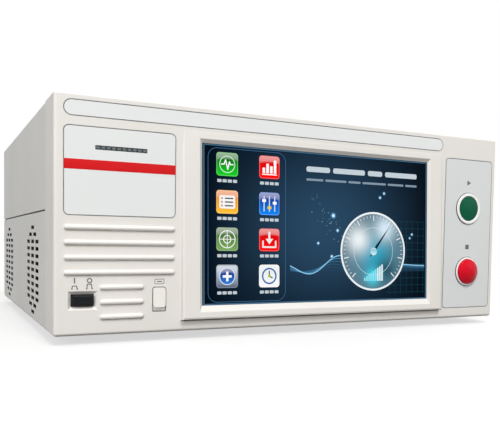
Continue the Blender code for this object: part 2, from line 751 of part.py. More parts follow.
def glass_pocket(display):
    bm = bmesh.new()
    add_block(bm, *screen_box(GLASS_BORDER + GAP, BEVEL_DEPTH + LIP_THICKNESS, BEZEL_DEPTH / 2))
    return tool("glass_pocket", bm, display)


def bracket_hole_places():
    across = SCREEN_WIDTH / 2 + (GLASS_BORDER + GAP + BRACKET_BORDER) / 2
    up = SCREEN_HEIGHT / 3
    return [(x, z) for x in (-across, across) for z in (-up, up)]


def display_bosses(display):
    bm = bmesh.new()
    start = DISPLAY_PROUD + BEZEL_WALL / 2
    for x, z in bracket_hole_places():
        add_rod(bm, Y_AXIS, (x, start, z), BRACKET_FRONT - GAP - start, BOSS_RADIUS, sides=8)
    return tool("display_bosses", bm, display)


def bezel_bosses():
    """Bosses that reach the subframe, and those that carry the small boards."""
    bm = bmesh.new()
    start = BEZEL_WALL / 2
    for x in (BOSS_INSET, HOUSING_WIDTH - BOSS_INSET):
        for z in (BOSS_INSET, HOUSING_HEIGHT - BOSS_INSET):
            add_rod(bm, Y_AXIS, (x_at(x), y_at(start), z_at(z)), BEZEL_DEPTH - start,
                    BOSS_RADIUS, sides=8)
    lamp_middle = (WARNING_LEFT + WARNING_RIGHT) / 2
    for side in (-1, 1):
        x = lamp_middle + side * (LAMP_WIDTH / 2 + LAMP_FLANGE + BOSS_RADIUS)
        add_rod(bm, Y_AXIS, (x_at(x), y_at(start), z_at(LAMP_HEIGHT)),
                lamp_board_front() - GAP - start, BOSS_RADIUS, sides=8)
    for side in (-1, 1):
        z = (PORT_BOTTOM + PORT_TOP) / 2 + side * (PORT_BOARD_HEIGHT / 2 - STANDOFF_RADIUS)
        add_rod(bm, Y_AXIS, (x_at((PORT_LEFT + PORT_RIGHT) / 2), y_at(start), z_at(z)),
                port_board_front() - GAP - start, STANDOFF_RADIUS, sides=8)
    return tool("bezel_bosses", bm)


def port_backing():
    bm = bmesh.new()
    border = PORT_BACKING_BORDER
    add_block(bm, *housing_box(PORT_LEFT - border, PORT_RIGHT + border, BEZEL_WALL / 2,
                               PORT_BACKING, PORT_BOTTOM - border, PORT_TOP + border))
    return tool("port_backing", bm)


def raised_bars():
    """Half-round bars: four long ones over three short ones."""
    bm = bmesh.new()
    for i in range(LONG_BAR_COUNT + SHORT_BAR_COUNT):
        left, right = LONG_BAR_LEFT, LONG_BAR_RIGHT
        if i >= LONG_BAR_COUNT:
            left, right = SHORT_BAR_LEFT, SHORT_BAR_RIGHT
        length = right - left
        far = arc((0, length - BAR_RADIUS), BAR_RADIUS, 90, 0, 2)
        near = arc((0, BAR_RADIUS), BAR_RADIUS, 0, -90, 2)
        profile = [(max(r, 0.0), h) for r, h in (*far, *near)]
        profile[0] = (0.0, length)
        profile[-1] = (0.0, 0.0)
        place = (x_at(left), y_at(0), z_at(TOP_BAR_HEIGHT - i * BAR_PITCH))
        add_turned(bm, profile, place, X_AXIS, 1, steps=12)
    return tool("raised_bars", bm)


def overlay_recesses():
    bm = bmesh.new()
    for left, right, bottom, top, radius in overlay_outlines().values():
        box = housing_box(left - GAP, right + GAP, -OVERSHOOT, OVERLAY_RECESS,
                          bottom - GAP, top + GAP)
        add_block(bm, *box, radius + GAP, along(Y_AXIS), 4)
    return tool("overlay_recesses", bm)


def power_pocket():
    """The bevelled pocket round the power button."""
    bm = bmesh.new()
    inner = housing_box(POWER_LEFT + POWER_BEVEL, POWER_RIGHT - POWER_BEVEL,
                        -POWER_BEVEL_DEPTH, POWER_BEVEL_DEPTH,
                        POWER_BOTTOM + POWER_BEVEL, POWER_TOP - POWER_BEVEL)
    middle_x = (inner[0][0] + inner[1][0]) / 2
    middle_z = (inner[0][2] + inner[1][2]) / 2
    for vert in add_block(bm, *inner):
        if vert.co.y < y_at(0):
            vert.co.x += math.copysign(2 * POWER_BEVEL, vert.co.x - middle_x)
            vert.co.z += math.copysign(2 * POWER_BEVEL, vert.co.z - middle_z)
    return tool("power_pocket", bm)


def bezel_openings():
    """Every hole and slot that goes through the front."""
    bm = bmesh.new()
    through = BEZEL_WALL + OVERSHOOT
    add_block(bm, *housing_box(POWER_LEFT + POWER_BEVEL, POWER_RIGHT - POWER_BEVEL, 0, through,
                               POWER_BOTTOM + POWER_BEVEL, POWER_TOP - POWER_BEVEL))
    lamp_middle = (WARNING_LEFT + WARNING_RIGHT) / 2
    add_block(bm, *housing_box(lamp_middle - LAMP_WIDTH / 2, lamp_middle + LAMP_WIDTH / 2,
                               -OVERSHOOT, through, LAMP_HEIGHT - LAMP_SLOT / 2,
                               LAMP_HEIGHT + LAMP_SLOT / 2))
    for height, cap_radius in ((START_HEIGHT, START_CAP_RADIUS), (STOP_HEIGHT, STOP_CAP_RADIUS)):
        add_rod(bm, Y_AXIS, (x_at(BUTTON_FROM_LEFT), y_at(-OVERSHOOT), z_at(height)),
                through + OVERSHOOT, barrel_radius(cap_radius) + GAP, sides=24)
    return tool("bezel_openings", bm)


def port_pocket():
    bm = bmesh.new()
    add_block(bm, *housing_box(PORT_LEFT - GAP, PORT_RIGHT + GAP, -OVERSHOOT,
                               PORT_POCKET_DEPTH, PORT_BOTTOM, PORT_TOP + GAP),
              PORT_RADIUS, upright_corners_above(PORT_BOTTOM + PORT_RADIUS), 3)
    return tool("port_pocket", bm)


def port_opening():
    """The hole for the socket, and the hinge pin's holes beside it."""
    bm = bmesh.new()
    middle_x = (PORT_LEFT + PORT_RIGHT) / 2
    middle_z = (PORT_BOTTOM + PORT_TOP) / 2
    half_width = SOCKET_WIDTH / 2 + GAP
    half_height = SOCKET_HEIGHT / 2 + GAP
    add_block(bm, *housing_box(middle_x - half_width, middle_x + half_width,
                               PORT_POCKET_DEPTH - OVERSHOOT, PORT_BACKING + OVERSHOOT,
                               middle_z - half_height, middle_z + half_height))
    reach = COVER_PIN_LENGTH + 2 * GAP
    for left in (PORT_LEFT - reach, PORT_RIGHT - OVERSHOOT):
        add_rod(bm, X_AXIS, (x_at(left), y_at(COVER_HINGE_DEPTH), z_at(CAP_BOTTOM)),
                reach + OVERSHOOT, COVER_PIN_RADIUS + GAP, sides=8)
    return tool("port_opening", bm)


def front_bezel(display):
    bm = bmesh.new()
    low, high = housing_box(0, HOUSING_WIDTH, 0, BEZEL_DEPTH, 0, HOUSING_HEIGHT)
    add_block(bm, low, high, CORNER_RADIUS,
              lambda edge: along(Y_AXIS)(edge) or bordering(Y_AXIS, -1)(edge))
    bezel = part("front_bezel", bm, "cream plastic")
    hollow = bmesh.new()
    add_block(hollow, *housing_box(BEZEL_WALL, HOUSING_WIDTH - BEZEL_WALL, BEZEL_WALL,
                                   BEZEL_DEPTH + OVERSHOOT, BEZEL_WALL,
                                   HOUSING_HEIGHT - BEZEL_WALL))
    cut(bezel, tool("bezel_hollow", hollow))
    fuse(bezel, raised_frame())
    fuse(bezel, raised_bars())
    fuse(bezel, bezel_bosses())
    fuse(bezel, port_backing())
    fuse(bezel, display_bosses(display))
    cut(bezel, screen_bevel(display))
    cut(bezel, screen_hole(display))
    cut(bezel, glass_pocket(display))
    cut(bezel, overlay_recesses())
    cut(bezel, power_pocket())
    cut(bezel, bezel_openings())
    cut(bezel, port_pocket())
    cut(bezel, port_opening())


# Overlays and the warning lamp

def overlay_outlines():
    """Left, right, bottom, top and corner radius of each film."""
    stadium = (TITLE_TALL - TITLE_END_FLAT) / 2
    return {
        "title_overlay": (TITLE_LEFT, TITLE_RIGHT, TITLE_BOTTOM, TITLE_TOP, stadium),
        "warning_overlay": (WARNING_LEFT, WARNING_RIGHT, WARNING_BOTTOM, WARNING_TOP,
                            WARNING_RADIUS),
        "button_overlay": (BUTTON_PANEL_LEFT, BUTTON_PANEL_RIGHT, BUTTON_PANEL_BOTTOM,
                           BUTTON_PANEL_TOP, BUTTON_PANEL_RADIUS),
    }


def overlays():
    holes = bmesh.new()
    lamp_middle = (WARNING_LEFT + WARNING_RIGHT) / 2
    add_block(holes, *housing_box(lamp_middle - LAMP_WIDTH / 2, lamp_middle + LAMP_WIDTH / 2,
                                  -OVERSHOOT, BEZEL_WALL, LAMP_HEIGHT - LAMP_SLOT / 2,
                                  LAMP_HEIGHT + LAMP_SLOT / 2))
    for height, cap_radius in ((START_HEIGHT, START_CAP_RADIUS), (STOP_HEIGHT, STOP_CAP_RADIUS)):
        add_rod(holes, Y_AXIS, (x_at(BUTTON_FROM_LEFT), y_at(-OVERSHOOT), z_at(height)),
                BEZEL_WALL + OVERSHOOT, barrel_radius(cap_radius) + GAP, sides=24)
    overlay_holes = tool("overlay_holes", holes)
    for name, (left, right, bottom, top, radius) in overlay_outlines().items():
        bm = bmesh.new()
        add_block(bm, *housing_box(left, right, -OVERLAY_PROUD, OVERLAY_SHEET - OVERLAY_PROUD,
                                   bottom, top), radius, along(Y_AXIS), 4)
        coat = "button film" if name == "button_overlay" else "overlay film"
        film = part(name, bm, coat)
        if name != "title_overlay":
            cut(film, overlay_holes)


def lamp_board_front():
    return BEZEL_WALL + GAP + OVERLAY_SHEET + GAP + LAMP_SIZE


def lamp_window():
    """A light bar that fills the slot, with a flange behind the wall."""
    middle = x_at((WARNING_LEFT + WARNING_RIGHT) / 2)
    bm = bmesh.new()
    add_block(bm, *centred_box(middle, LAMP_WIDTH - 2 * GAP, -OVERLAY_PROUD, BEZEL_WALL + 2 * GAP,
                               LAMP_HEIGHT, LAMP_SLOT - 2 * GAP))
    window = part("lamp_window", bm, "smoked lens")
    flange = bmesh.new()
    add_block(flange, *centred_box(middle, LAMP_WIDTH + 2 * LAMP_FLANGE, BEZEL_WALL + GAP,
                                   BEZEL_WALL + GAP + OVERLAY_SHEET, LAMP_HEIGHT,
                                   LAMP_SLOT + 2 * LAMP_FLANGE))
    fuse(window, tool("lamp_window_flange", flange))


def lamp_board():
    middle = x_at((WARNING_LEFT + WARNING_RIGHT) / 2)
    front = lamp_board_front()
    bm = bmesh.new()
    width = LAMP_WIDTH + 2 * LAMP_FLANGE + 4 * BOSS_RADIUS
    add_block(bm, *centred_box(middle, width, front, front + BOARD_THICKNESS, LAMP_HEIGHT,
                               LAMP_BOARD_HEIGHT))
    board = part("lamp_board", bm, "circuit board")
    lamps = bmesh.new()
    pitch = LAMP_WIDTH / LAMP_COUNT
    for i in range(LAMP_COUNT):
        x = middle + (i - (LAMP_COUNT - 1) / 2) * pitch
        add_block(lamps, *centred_box(x, LAMP_SIZE, front - LAMP_SIZE,
                                      front + CHIP_SINK, LAMP_HEIGHT, LAMP_SIZE))
    fuse(board, tool("lamps", lamps))


# Display

def display_stack(display):
    glass = bmesh.new()
    add_block(glass, *screen_box(GLASS_BORDER, GLASS_FRONT, GLASS_FRONT + GLASS_THICKNESS))
    part("touch_glass", glass, "glass", parent=display)
    panel = bmesh.new()
    add_block(panel, *screen_box(PANEL_BORDER, PANEL_FRONT, PANEL_FRONT + PANEL_THICKNESS),
              OVERSHOOT, along(Y_AXIS), 2)
    part("display_panel", panel, "display metal", parent=display)
    low, high = screen_box(BRACKET_BORDER, BRACKET_FRONT, BRACKET_FRONT + BRACKET_FLANGE)
    low = (low[0], low[1], -SCREEN_HEIGHT / 2 - GLASS_BORDER)
    high = (high[0], high[1], SCREEN_HEIGHT / 2 + GLASS_BORDER)
    bracket = sheet_part("display_bracket", low, high, ((X_AXIS, -1), (X_AXIS, 1), (Y_AXIS, 1)),
                         BRACKET_SHEET, "zinc plated steel", CORNER_RADIUS, display)
    holes = bmesh.new()
    for x, z in bracket_hole_places():
        add_rod(holes, Y_AXIS, (x, BRACKET_FRONT - OVERSHOOT, z),
                BRACKET_SHEET + 2 * OVERSHOOT, FAN_SCREW_RADIUS, sides=8)
    cut(bracket, tool("bracket_holes", holes, display))
    driver_board(display)


def driver_board(display):
    """The board that drives the display, on four spacers."""
    bm = bmesh.new()
    half_width = DRIVER_BOARD_WIDTH / 2
    half_height = DRIVER_BOARD_HEIGHT / 2
    back = DRIVER_BOARD_FRONT + BOARD_THICKNESS
    add_block(bm, (-half_width, DRIVER_BOARD_FRONT, -half_height),
              (half_width, back, half_height))
    board = part("display_driver_board", bm, "circuit board", parent=display)
    extras = bmesh.new()
    for x in (-half_width + STANDOFF_INSET, half_width - STANDOFF_INSET):
        for z in (-half_height + STANDOFF_INSET, half_height - STANDOFF_INSET):
            start = BRACKET_FRONT + BRACKET_SHEET + GAP
            add_rod(extras, Y_AXIS, (x, start, z), back + OVERSHOOT - start, STANDOFF_RADIUS,
                    sides=6)
    half_chip = DRIVER_CHIP / 2
    add_block(extras, (-half_chip, back - CHIP_SINK, -half_chip),
              (half_chip, back + CHIP_TALL, half_chip))
    half_connector = DRIVER_CONNECTOR_WIDTH / 2
    add_block(extras, (-half_connector, back - CHIP_SINK, DRIVER_CONNECTOR_HEIGHT),
              (half_connector, back + DRIVER_CONNECTOR_DEPTH,
               DRIVER_CONNECTOR_HEIGHT + DRIVER_CONNECTOR_TALL))
    fuse(board, tool("driver_board_extras", extras, display))


# Push buttons

def barrel_radius(cap_radius):
    return cap_radius + GAP + BARREL_WALL


def push_button(name, coat, height, cap_radius, ring_radius, proud, ring_coat):
    """A round push button: cap, ring with barrel, lock nut and switch block."""
    film_front = -OVERLAY_PROUD - GAP
    centre = Vector((x_at(BUTTON_FROM_LEFT), y_at(film_front), z_at(height)))
    dome = TALL_CAP_DOME if proud > START_CAP_PROUD else CAP_DOME
    profile = [(0.0, proud)]
    profile += [(across * cap_radius, proud - fall * dome) for across, fall in CAP_CURVE]
    profile += [(cap_radius, proud - dome - OVERSHOOT), (cap_radius, -BUTTON_SKIRT),
                (0.0, -BUTTON_SKIRT)]
    cap = bmesh.new()
    add_turned(cap, profile, centre, Y_AXIS, -1)
    part(name + "_button", cap, coat, origin=centre)

    bore = cap_radius + GAP
    outer = barrel_radius(cap_radius)
    profile = [(bore, RING_THICKNESS), (ring_radius - RING_CHAMFER, RING_THICKNESS),
               (ring_radius, RING_THICKNESS - RING_CHAMFER), (ring_radius, 0.0), (outer, 0.0),
               (outer, -BARREL_LENGTH), (bore, -BARREL_LENGTH)]
    ring = bmesh.new()
    add_turned(ring, profile, centre, Y_AXIS, -1)
    part(name + "_ring", ring, ring_coat)

    nut = bmesh.new()
    front = y_at(BEZEL_WALL + GAP)
    add_rod(nut, Y_AXIS, (centre.x, front, centre.z), LOCK_NUT_THICKNESS, LOCK_NUT_RADIUS,
            sides=6)
    lock_nut = part(name + "_lock_nut", nut, "black plastic")
    thread = bmesh.new()
    add_rod(thread, Y_AXIS, (centre.x, front - OVERSHOOT, centre.z),
            LOCK_NUT_THICKNESS + 2 * OVERSHOOT, outer + GAP, sides=24)
    cut(lock_nut, tool(name + "_nut_thread", thread))

    front = centre.y + BARREL_LENGTH + GAP
    half = SWITCH_BLOCK / 2
    block = bmesh.new()
    add_block(block, (centre.x - half, front, centre.z - half),
              (centre.x + half, front + SWITCH_BLOCK_DEPTH, centre.z + half), OVERSHOOT,
              along(Y_AXIS), 1)
    switch = part(name + "_switch", block, "black plastic")
    blades = bmesh.new()
    for side in (-1, 1):
        x = centre.x + side * half / 2
        low = (x - SWITCH_BLADE_WIDTH / 2, front + SWITCH_BLOCK_DEPTH - OVERSHOOT,
               centre.z - SWITCH_BLADE_SHEET / 2)
        high = (x + SWITCH_BLADE_WIDTH / 2, front + SWITCH_BLOCK_DEPTH + SWITCH_BLADE_LENGTH,
                centre.z + SWITCH_BLADE_SHEET / 2)
        add_block(blades, low, high)
    fuse(switch, tool(name + "_switch_blades", blades))


def power_switch():
    """A long push cap that slides in the switch body behind the wall."""
    bm = bmesh.new()
    inner = POWER_BEVEL + GAP
    low, high = housing_box(POWER_LEFT + inner, POWER_RIGHT - inner, -POWER_PROUD,
                            POWER_CAP_LENGTH - POWER_PROUD, POWER_BOTTOM + inner,
                            POWER_TOP - inner)
    add_block(bm, low, high, POWER_CAP_ROUNDING, bordering(Y_AXIS, -1), 3)
    middle = ((low[0] + high[0]) / 2, low[1], (low[2] + high[2]) / 2)
    part("power_button", bm, "black plastic", origin=middle)

    wall = POWER_BODY_WALL - POWER_BEVEL
    front = BEZEL_WALL + GAP
    body = bmesh.new()
    add_block(body, *housing_box(POWER_LEFT - wall, POWER_RIGHT + wall, front,
                                 front + POWER_BODY_DEPTH, POWER_BOTTOM - wall,
                                 POWER_TOP + wall), OVERSHOOT, along(Y_AXIS), 2)
    switch = part("power_switch", body, "black plastic")
    guide = bmesh.new()
    guide_back = POWER_CAP_LENGTH - POWER_PROUD + POWER_TRAVEL + OVERSHOOT
    add_block(guide, *housing_box(POWER_LEFT + POWER_BEVEL, POWER_RIGHT - POWER_BEVEL,
                                  front - OVERSHOOT, guide_back, POWER_BOTTOM + POWER_BEVEL,
                                  POWER_TOP - POWER_BEVEL))
    cut(switch, tool("power_guide", guide))


# Port

def port_board_front():
    return PORT_POCKET_DEPTH + 2 * GAP + SOCKET_LENGTH


def port_cover():
    """A lid that swings down on two stub pins in the pocket's sides."""
    hinge = (x_at((PORT_LEFT + PORT_RIGHT) / 2), y_at(COVER_HINGE_DEPTH), z_at(CAP_BOTTOM))
    back = COVER_HINGE_DEPTH + COVER_HINGE_RADIUS
    lid = bmesh.new()
    add_block(lid, *housing_box(PORT_LEFT, PORT_RIGHT, COVER_HINGE_DEPTH - COVER_HINGE_RADIUS,
                                back, CAP_BOTTOM, PORT_TOP), PORT_RADIUS,
              upright_corners_above(PORT_BOTTOM + PORT_RADIUS))
    cover = part("port_cover", lid, "cream plastic", origin=hinge)
    knuckle = bmesh.new()
    add_rod(knuckle, X_AXIS, (x_at(PORT_LEFT), hinge[1], hinge[2]), PORT_RIGHT - PORT_LEFT,
            COVER_HINGE_RADIUS, sides=12)
    fuse(cover, tool("cover_knuckle", knuckle))
    face = bmesh.new()
    add_block(face, *housing_box(PORT_LEFT, PORT_RIGHT, -COVER_PROUD,
                                 COVER_HINGE_DEPTH, CAP_BOTTOM + COVER_THIN_EDGE, PORT_TOP),
              PORT_RADIUS, along(Y_AXIS), 3)
    fuse(cover, tool("cover_face", face))
    pin = bmesh.new()
    add_rod(pin, X_AXIS, (x_at(PORT_LEFT - COVER_PIN_LENGTH), hinge[1], hinge[2]),
            PORT_RIGHT - PORT_LEFT + 2 * COVER_PIN_LENGTH, COVER_PIN_RADIUS, sides=8)
    fuse(cover, tool("cover_pin", pin))


def port_socket():
    """An upright socket: a folded steel shell with a tongue inside."""
    middle_x = x_at((PORT_LEFT + PORT_RIGHT) / 2)
    middle = (PORT_BOTTOM + PORT_TOP) / 2
    front = PORT_POCKET_DEPTH + GAP
    bm = bmesh.new()
    add_block(bm, *centred_box(middle_x, SOCKET_WIDTH, front, front + SOCKET_LENGTH, middle,
                               SOCKET_HEIGHT))
    socket = part("port_socket", bm, "nickel plate")
    mouth = bmesh.new()
    add_block(mouth, *centred_box(middle_x, SOCKET_WIDTH - 2 * SOCKET_SHEET, front - OVERSHOOT,
                                  front + SOCKET_LENGTH - 2 * OVERSHOOT, middle,
                                  SOCKET_HEIGHT - 2 * SOCKET_SHEET))
    cut(socket, tool("socket_mouth", mouth))
    tongue = bmesh.new()
    add_block(tongue, *centred_box(middle_x - SOCKET_TONGUE / 2, SOCKET_TONGUE,
                                   front + 2 * OVERSHOOT, front + SOCKET_LENGTH - OVERSHOOT,
                                   middle, SOCKET_HEIGHT - 4 * SOCKET_SHEET))
    fuse(socket, tool("socket_tongue", tongue))
    board = bmesh.new()
    front = port_board_front()
    add_block(board, *centred_box(middle_x, PORT_BOARD_WIDTH, front, front + BOARD_THICKNESS,
                                  middle, PORT_BOARD_HEIGHT))
    part("port_board", board, "circuit board")


# Sheet metal

def vent_slots():
    """Two groups of slots, cut through both sides in one go."""
    bm = bmesh.new()
    for middle in (FRONT_VENT_DEPTH, HOUSING_DEPTH - REAR_VENT_TO_BACK):
        for row, count in enumerate(SLOTS_BY_ROW):
            height = LOWEST_SLOT + row * SLOT_ROW_PITCH
            for i in range(count):
                depth = middle + (i - (count - 1) / 2) * SLOT_PITCH
                add_block(bm, *housing_box(-OVERSHOOT, HOUSING_WIDTH + OVERSHOOT,
                                           depth - SLOT_LENGTH / 2, depth + SLOT_LENGTH / 2,
                                           height - SLOT_HEIGHT / 2, height + SLOT_HEIGHT / 2))
    return tool("vent_slots", bm)


def board_places():
    """Middle in X, front depth, width and length of each board."""
    return {
        "main_board": (MAIN_BOARD_LEFT + MAIN_BOARD_WIDTH / 2, MAIN_BOARD_DEPTH,
                       MAIN_BOARD_WIDTH, MAIN_BOARD_LENGTH),
        "power_supply_board": (LEFT_BAY_X, REAR_BOARD_DEPTH, LEFT_BAY - 2 * BAY_MARGIN,
                               REAR_BOARD_LENGTH),
        "relay_board": (RELAY_BOARD_LEFT + RELAY_BOARD_WIDTH / 2, REAR_BOARD_DEPTH,
                        RELAY_BOARD_WIDTH, REAR_BOARD_LENGTH),
    }


def floor_standoffs():
    bm = bmesh.new()
    for x, front, width, length in board_places().values():
        for across in (-1, 1):
            for depth in (front + STANDOFF_INSET, front + length - STANDOFF_INSET):
                place = (x + across * (width / 2 - STANDOFF_INSET), y_at(depth),
                         z_at(FLOOR / 2))
                add_rod(bm, Z_AXIS, place, FLOOR / 2 + STANDOFF_HEIGHT, STANDOFF_RADIUS,
                        sides=6)
    return tool("floor_standoffs", bm)


def shells():
    low, high = housing_box(0, HOUSING_WIDTH, SHELL_FRONT, HOUSING_DEPTH, 0, SEAM_LOW)
    ends = ((Y_AXIS, -1), (Y_AXIS, 1))
    chassis = sheet_part("bottom_chassis", low, high, ends + ((Z_AXIS, 1),), SHEET,
                         "grey painted steel", CORNER_RADIUS)
    cut(chassis, vent_slots())
    fuse(chassis, floor_standoffs())
    low, high = housing_box(0, HOUSING_WIDTH, SHELL_FRONT, HOUSING_DEPTH, SEAM_HIGH,
                            HOUSING_HEIGHT)
    cover = sheet_part("top_cover", low, high, ends + ((Z_AXIS, -1),), SHEET,
                       "grey painted steel", CORNER_RADIUS)
    cut(cover, screw_holes())


def screw_places():
    y = y_at(HOUSING_DEPTH - REAR_FLANGE / 2)
    reach = HOUSING_WIDTH / 2 - COVER_SCREW_INSET
    return {"left": (-reach, y), "middle": (0.0, y), "right": (reach, y)}


def screw_holes():
    bm = bmesh.new()
    for x, y in screw_places().values():
        add_rod(bm, Z_AXIS, (x, y, z_at(HOUSING_HEIGHT - COVER_SCREW_LENGTH)),
                COVER_SCREW_LENGTH + OVERSHOOT, COVER_SCREW_SHANK + GAP, sides=8)
    return tool("screw_holes", bm)


def cover_screws():
    top = COVER_SCREW_HEAD_HEIGHT
    head = COVER_SCREW_HEAD
    profile = [(0.0, top), (0.6 * head, top), (head, 0.5 * top), (head, 0.0),
               (COVER_SCREW_SHANK, 0.0), (COVER_SCREW_SHANK, -COVER_SCREW_LENGTH),
               (0.0, -COVER_SCREW_LENGTH)]
    for name, (x, y) in screw_places().items():
        bm = bmesh.new()
        add_turned(bm, profile, (x, y, z_at(HOUSING_HEIGHT) + GAP), Z_AXIS, 1, steps=10)
        part("cover_screw_" + name, bm, "nickel plate")


def inner_tray(front, back, open_side):
    """Corners and open side of a tray that fits inside both shells."""
    inset = SHEET + GAP
    low = (-INNER_HALF_WIDTH, y_at(front), z_at(inset))
    high = (INNER_HALF_WIDTH, y_at(back), z_at(HOUSING_HEIGHT - inset))
    return low, high, ((Y_AXIS, open_side),)


def front_subframe():
    low, high, open_side = inner_tray(SHELL_FRONT, SUBFRAME_BACK, 1)
    frame = sheet_part("front_subframe", low, high, open_side, SHEET, "zinc plated steel",
                       CORNER_RADIUS)
    bm = bmesh.new()
    for x in (-HOUSING_WIDTH / 4, DISPLAY_X, HOUSING_WIDTH / 3):
        add_block(bm, *centred_box(x, CABLE_WINDOW_WIDTH, SHELL_FRONT - OVERSHOOT,
                                   SHELL_FRONT + SHEET + OVERSHOOT, HOUSING_HEIGHT / 2,
                                   CABLE_WINDOW_TALL), CABLE_WINDOW_RADIUS, along(Y_AXIS), 2)
    cut(frame, tool("cable_windows", bm))


def side_rails():
    """Angles behind the seam that tie the subframe to the rear panel."""
    back = HOUSING_DEPTH - REAR_FLANGE
    for name, side in (("left", -1), ("right", 1)):
        inner = INNER_HALF_WIDTH - RAIL_LEG
        x_low = -INNER_HALF_WIDTH if side < 0 else inner
        low = (x_low, y_at(SUBFRAME_BACK + GAP), z_at(SEAM_HEIGHT - RAIL_HEIGHT / 2))
        high = (x_low + RAIL_LEG, y_at(back - GAP), z_at(SEAM_HEIGHT + RAIL_HEIGHT / 2))
        sheet_part("side_rail_" + name, low, high,
                   ((X_AXIS, -side), (Y_AXIS, -1), (Y_AXIS, 1), (Z_AXIS, -1)), SHEET,
                   "zinc plated steel", RAIL_FOLD_RADIUS)


def divider_wall():
    """A partition between the measuring side and the high-voltage side."""
    low = (DIVIDER_X, y_at(DIVIDER_FRONT), z_at(FLOOR + GAP))
    high = (DIVIDER_X + RAIL_LEG, y_at(HOUSING_DEPTH - DIVIDER_TO_BACK), z_at(DIVIDER_HEIGHT))
    sheet_part("divider_wall", low, high,
               ((X_AXIS, 1), (Y_AXIS, -1), (Y_AXIS, 1), (Z_AXIS, 1)), SHEET,
               "zinc plated steel", RAIL_FOLD_RADIUS)


def rear_panel():
    """The rear tray, with a hole for everything that it carries."""
    low, high, open_side = inner_tray(HOUSING_DEPTH - REAR_FLANGE, HOUSING_DEPTH, -1)
    panel = sheet_part("rear_panel", low, high, open_side, REAR_SHEET, "grey painted steel",
                       CORNER_RADIUS)
    bm = bmesh.new()
    start = BACK_INSIDE - OVERSHOOT
    through = REAR_SHEET + 2 * OVERSHOOT
    add_rod(bm, Y_AXIS, (FAN_X, y_at(start), z_at(FAN_HEIGHT)), through, FAN_BORE_RADIUS,
            sides=36)
    for x, width, height, tall in rear_windows():
        add_block(bm, *centred_box(x, width + 2 * GAP, start, start + through, height,
                                   tall + 2 * GAP))
    for x, height, radius in rear_round_holes():
        add_rod(bm, Y_AXIS, (x, y_at(start), z_at(height)), through, radius + GAP, sides=12)
    cut(panel, tool("rear_holes", bm))
    cut(panel, screw_holes_of_flange())


def screw_holes_of_flange():
    bm = bmesh.new()
    for x, y in screw_places().values():
        add_rod(bm, Z_AXIS, (x, y, z_at(HOUSING_HEIGHT - 2 * COVER_SCREW_LENGTH)),
                2 * COVER_SCREW_LENGTH, COVER_SCREW_SHANK + GAP, sides=8)
    return tool("flange_screw_holes", bm)


def rear_windows():
    """Middle in X, width, middle height and height of each square hole."""
    inset = 2 * INLET_BODY_INSET
    return (
        (INLET_X, INLET_WIDTH - inset, INLET_HEIGHT, INLET_TALL - inset),
        (OUTLET_X, OUTLET_WIDTH - inset, OUTLET_HEIGHT, OUTLET_TALL - inset),
        (SERIAL_X, SERIAL_SHELL_WIDTH, SERIAL_HEIGHT, SERIAL_SHELL_HEIGHT),
        (NETWORK_X, NETWORK_WIDTH, NETWORK_HEIGHT, NETWORK_TALL),
    )


def terminal_places():
    """X, height, radius, bore and finish of each test terminal."""
    left = TERMINAL_X - TERMINAL_SPACING
    drive_height = VOLTAGE_TERMINAL_HEIGHT - DRIVE_TERMINAL_DROP
    sense_height = VOLTAGE_TERMINAL_HEIGHT - SENSE_TERMINAL_DROP
    return {
        "high_voltage_socket": (TERMINAL_X, VOLTAGE_TERMINAL_HEIGHT, VOLTAGE_TERMINAL_RADIUS,
                                VOLTAGE_BORE, "red plastic"),
        "return_socket": (left, VOLTAGE_TERMINAL_HEIGHT, VOLTAGE_TERMINAL_RADIUS,
                          VOLTAGE_BORE, "black plastic"),
        "bond_drive_socket_high": (TERMINAL_X, drive_height, DRIVE_TERMINAL_RADIUS,
                                   DRIVE_BORE, "red plastic"),
        "bond_drive_socket_low": (left, drive_height, DRIVE_TERMINAL_RADIUS,
                                  DRIVE_BORE, "black plastic"),
        "bond_sense_socket_high": (TERMINAL_X, sense_height, SENSE_TERMINAL_RADIUS,
                                   SENSE_BORE, "red plastic"),
        "bond_sense_socket_low": (left, sense_height, SENSE_TERMINAL_RADIUS,
                                  SENSE_BORE, "black plastic"),
    }


def rear_round_holes():
    holes = [(x, height, TERMINAL_NECK * radius)
             for x, height, radius, _, _ in terminal_places().values()]
    return holes + [(EARTH_X, EARTH_HEIGHT, EARTH_STUD_RADIUS)]


# Feet

def feet():
    profile = [(0.0, FOOT_HEIGHT - GAP), (FOOT_RADIUS, FOOT_HEIGHT - GAP),
               (FOOT_RADIUS - FOOT_TAPER, 0.0), (0.0, 0.0)]
    rear = HOUSING_DEPTH - REAR_FOOT_TO_BACK
    for side, x in (("left", FOOT_INSET), ("right", HOUSING_WIDTH - FOOT_INSET)):
        for end, depth in (("front", FRONT_FOOT_DEPTH), ("rear", rear)):
            bm = bmesh.new()
            add_turned(bm, profile, (x_at(x), y_at(depth), 0.0), Z_AXIS, 1, steps=16)
            part(f"foot_{end}_{side}", bm, "black rubber")


# Fan

def fan_centre(depth):
    return Vector((FAN_X, y_at(depth), z_at(FAN_HEIGHT)))


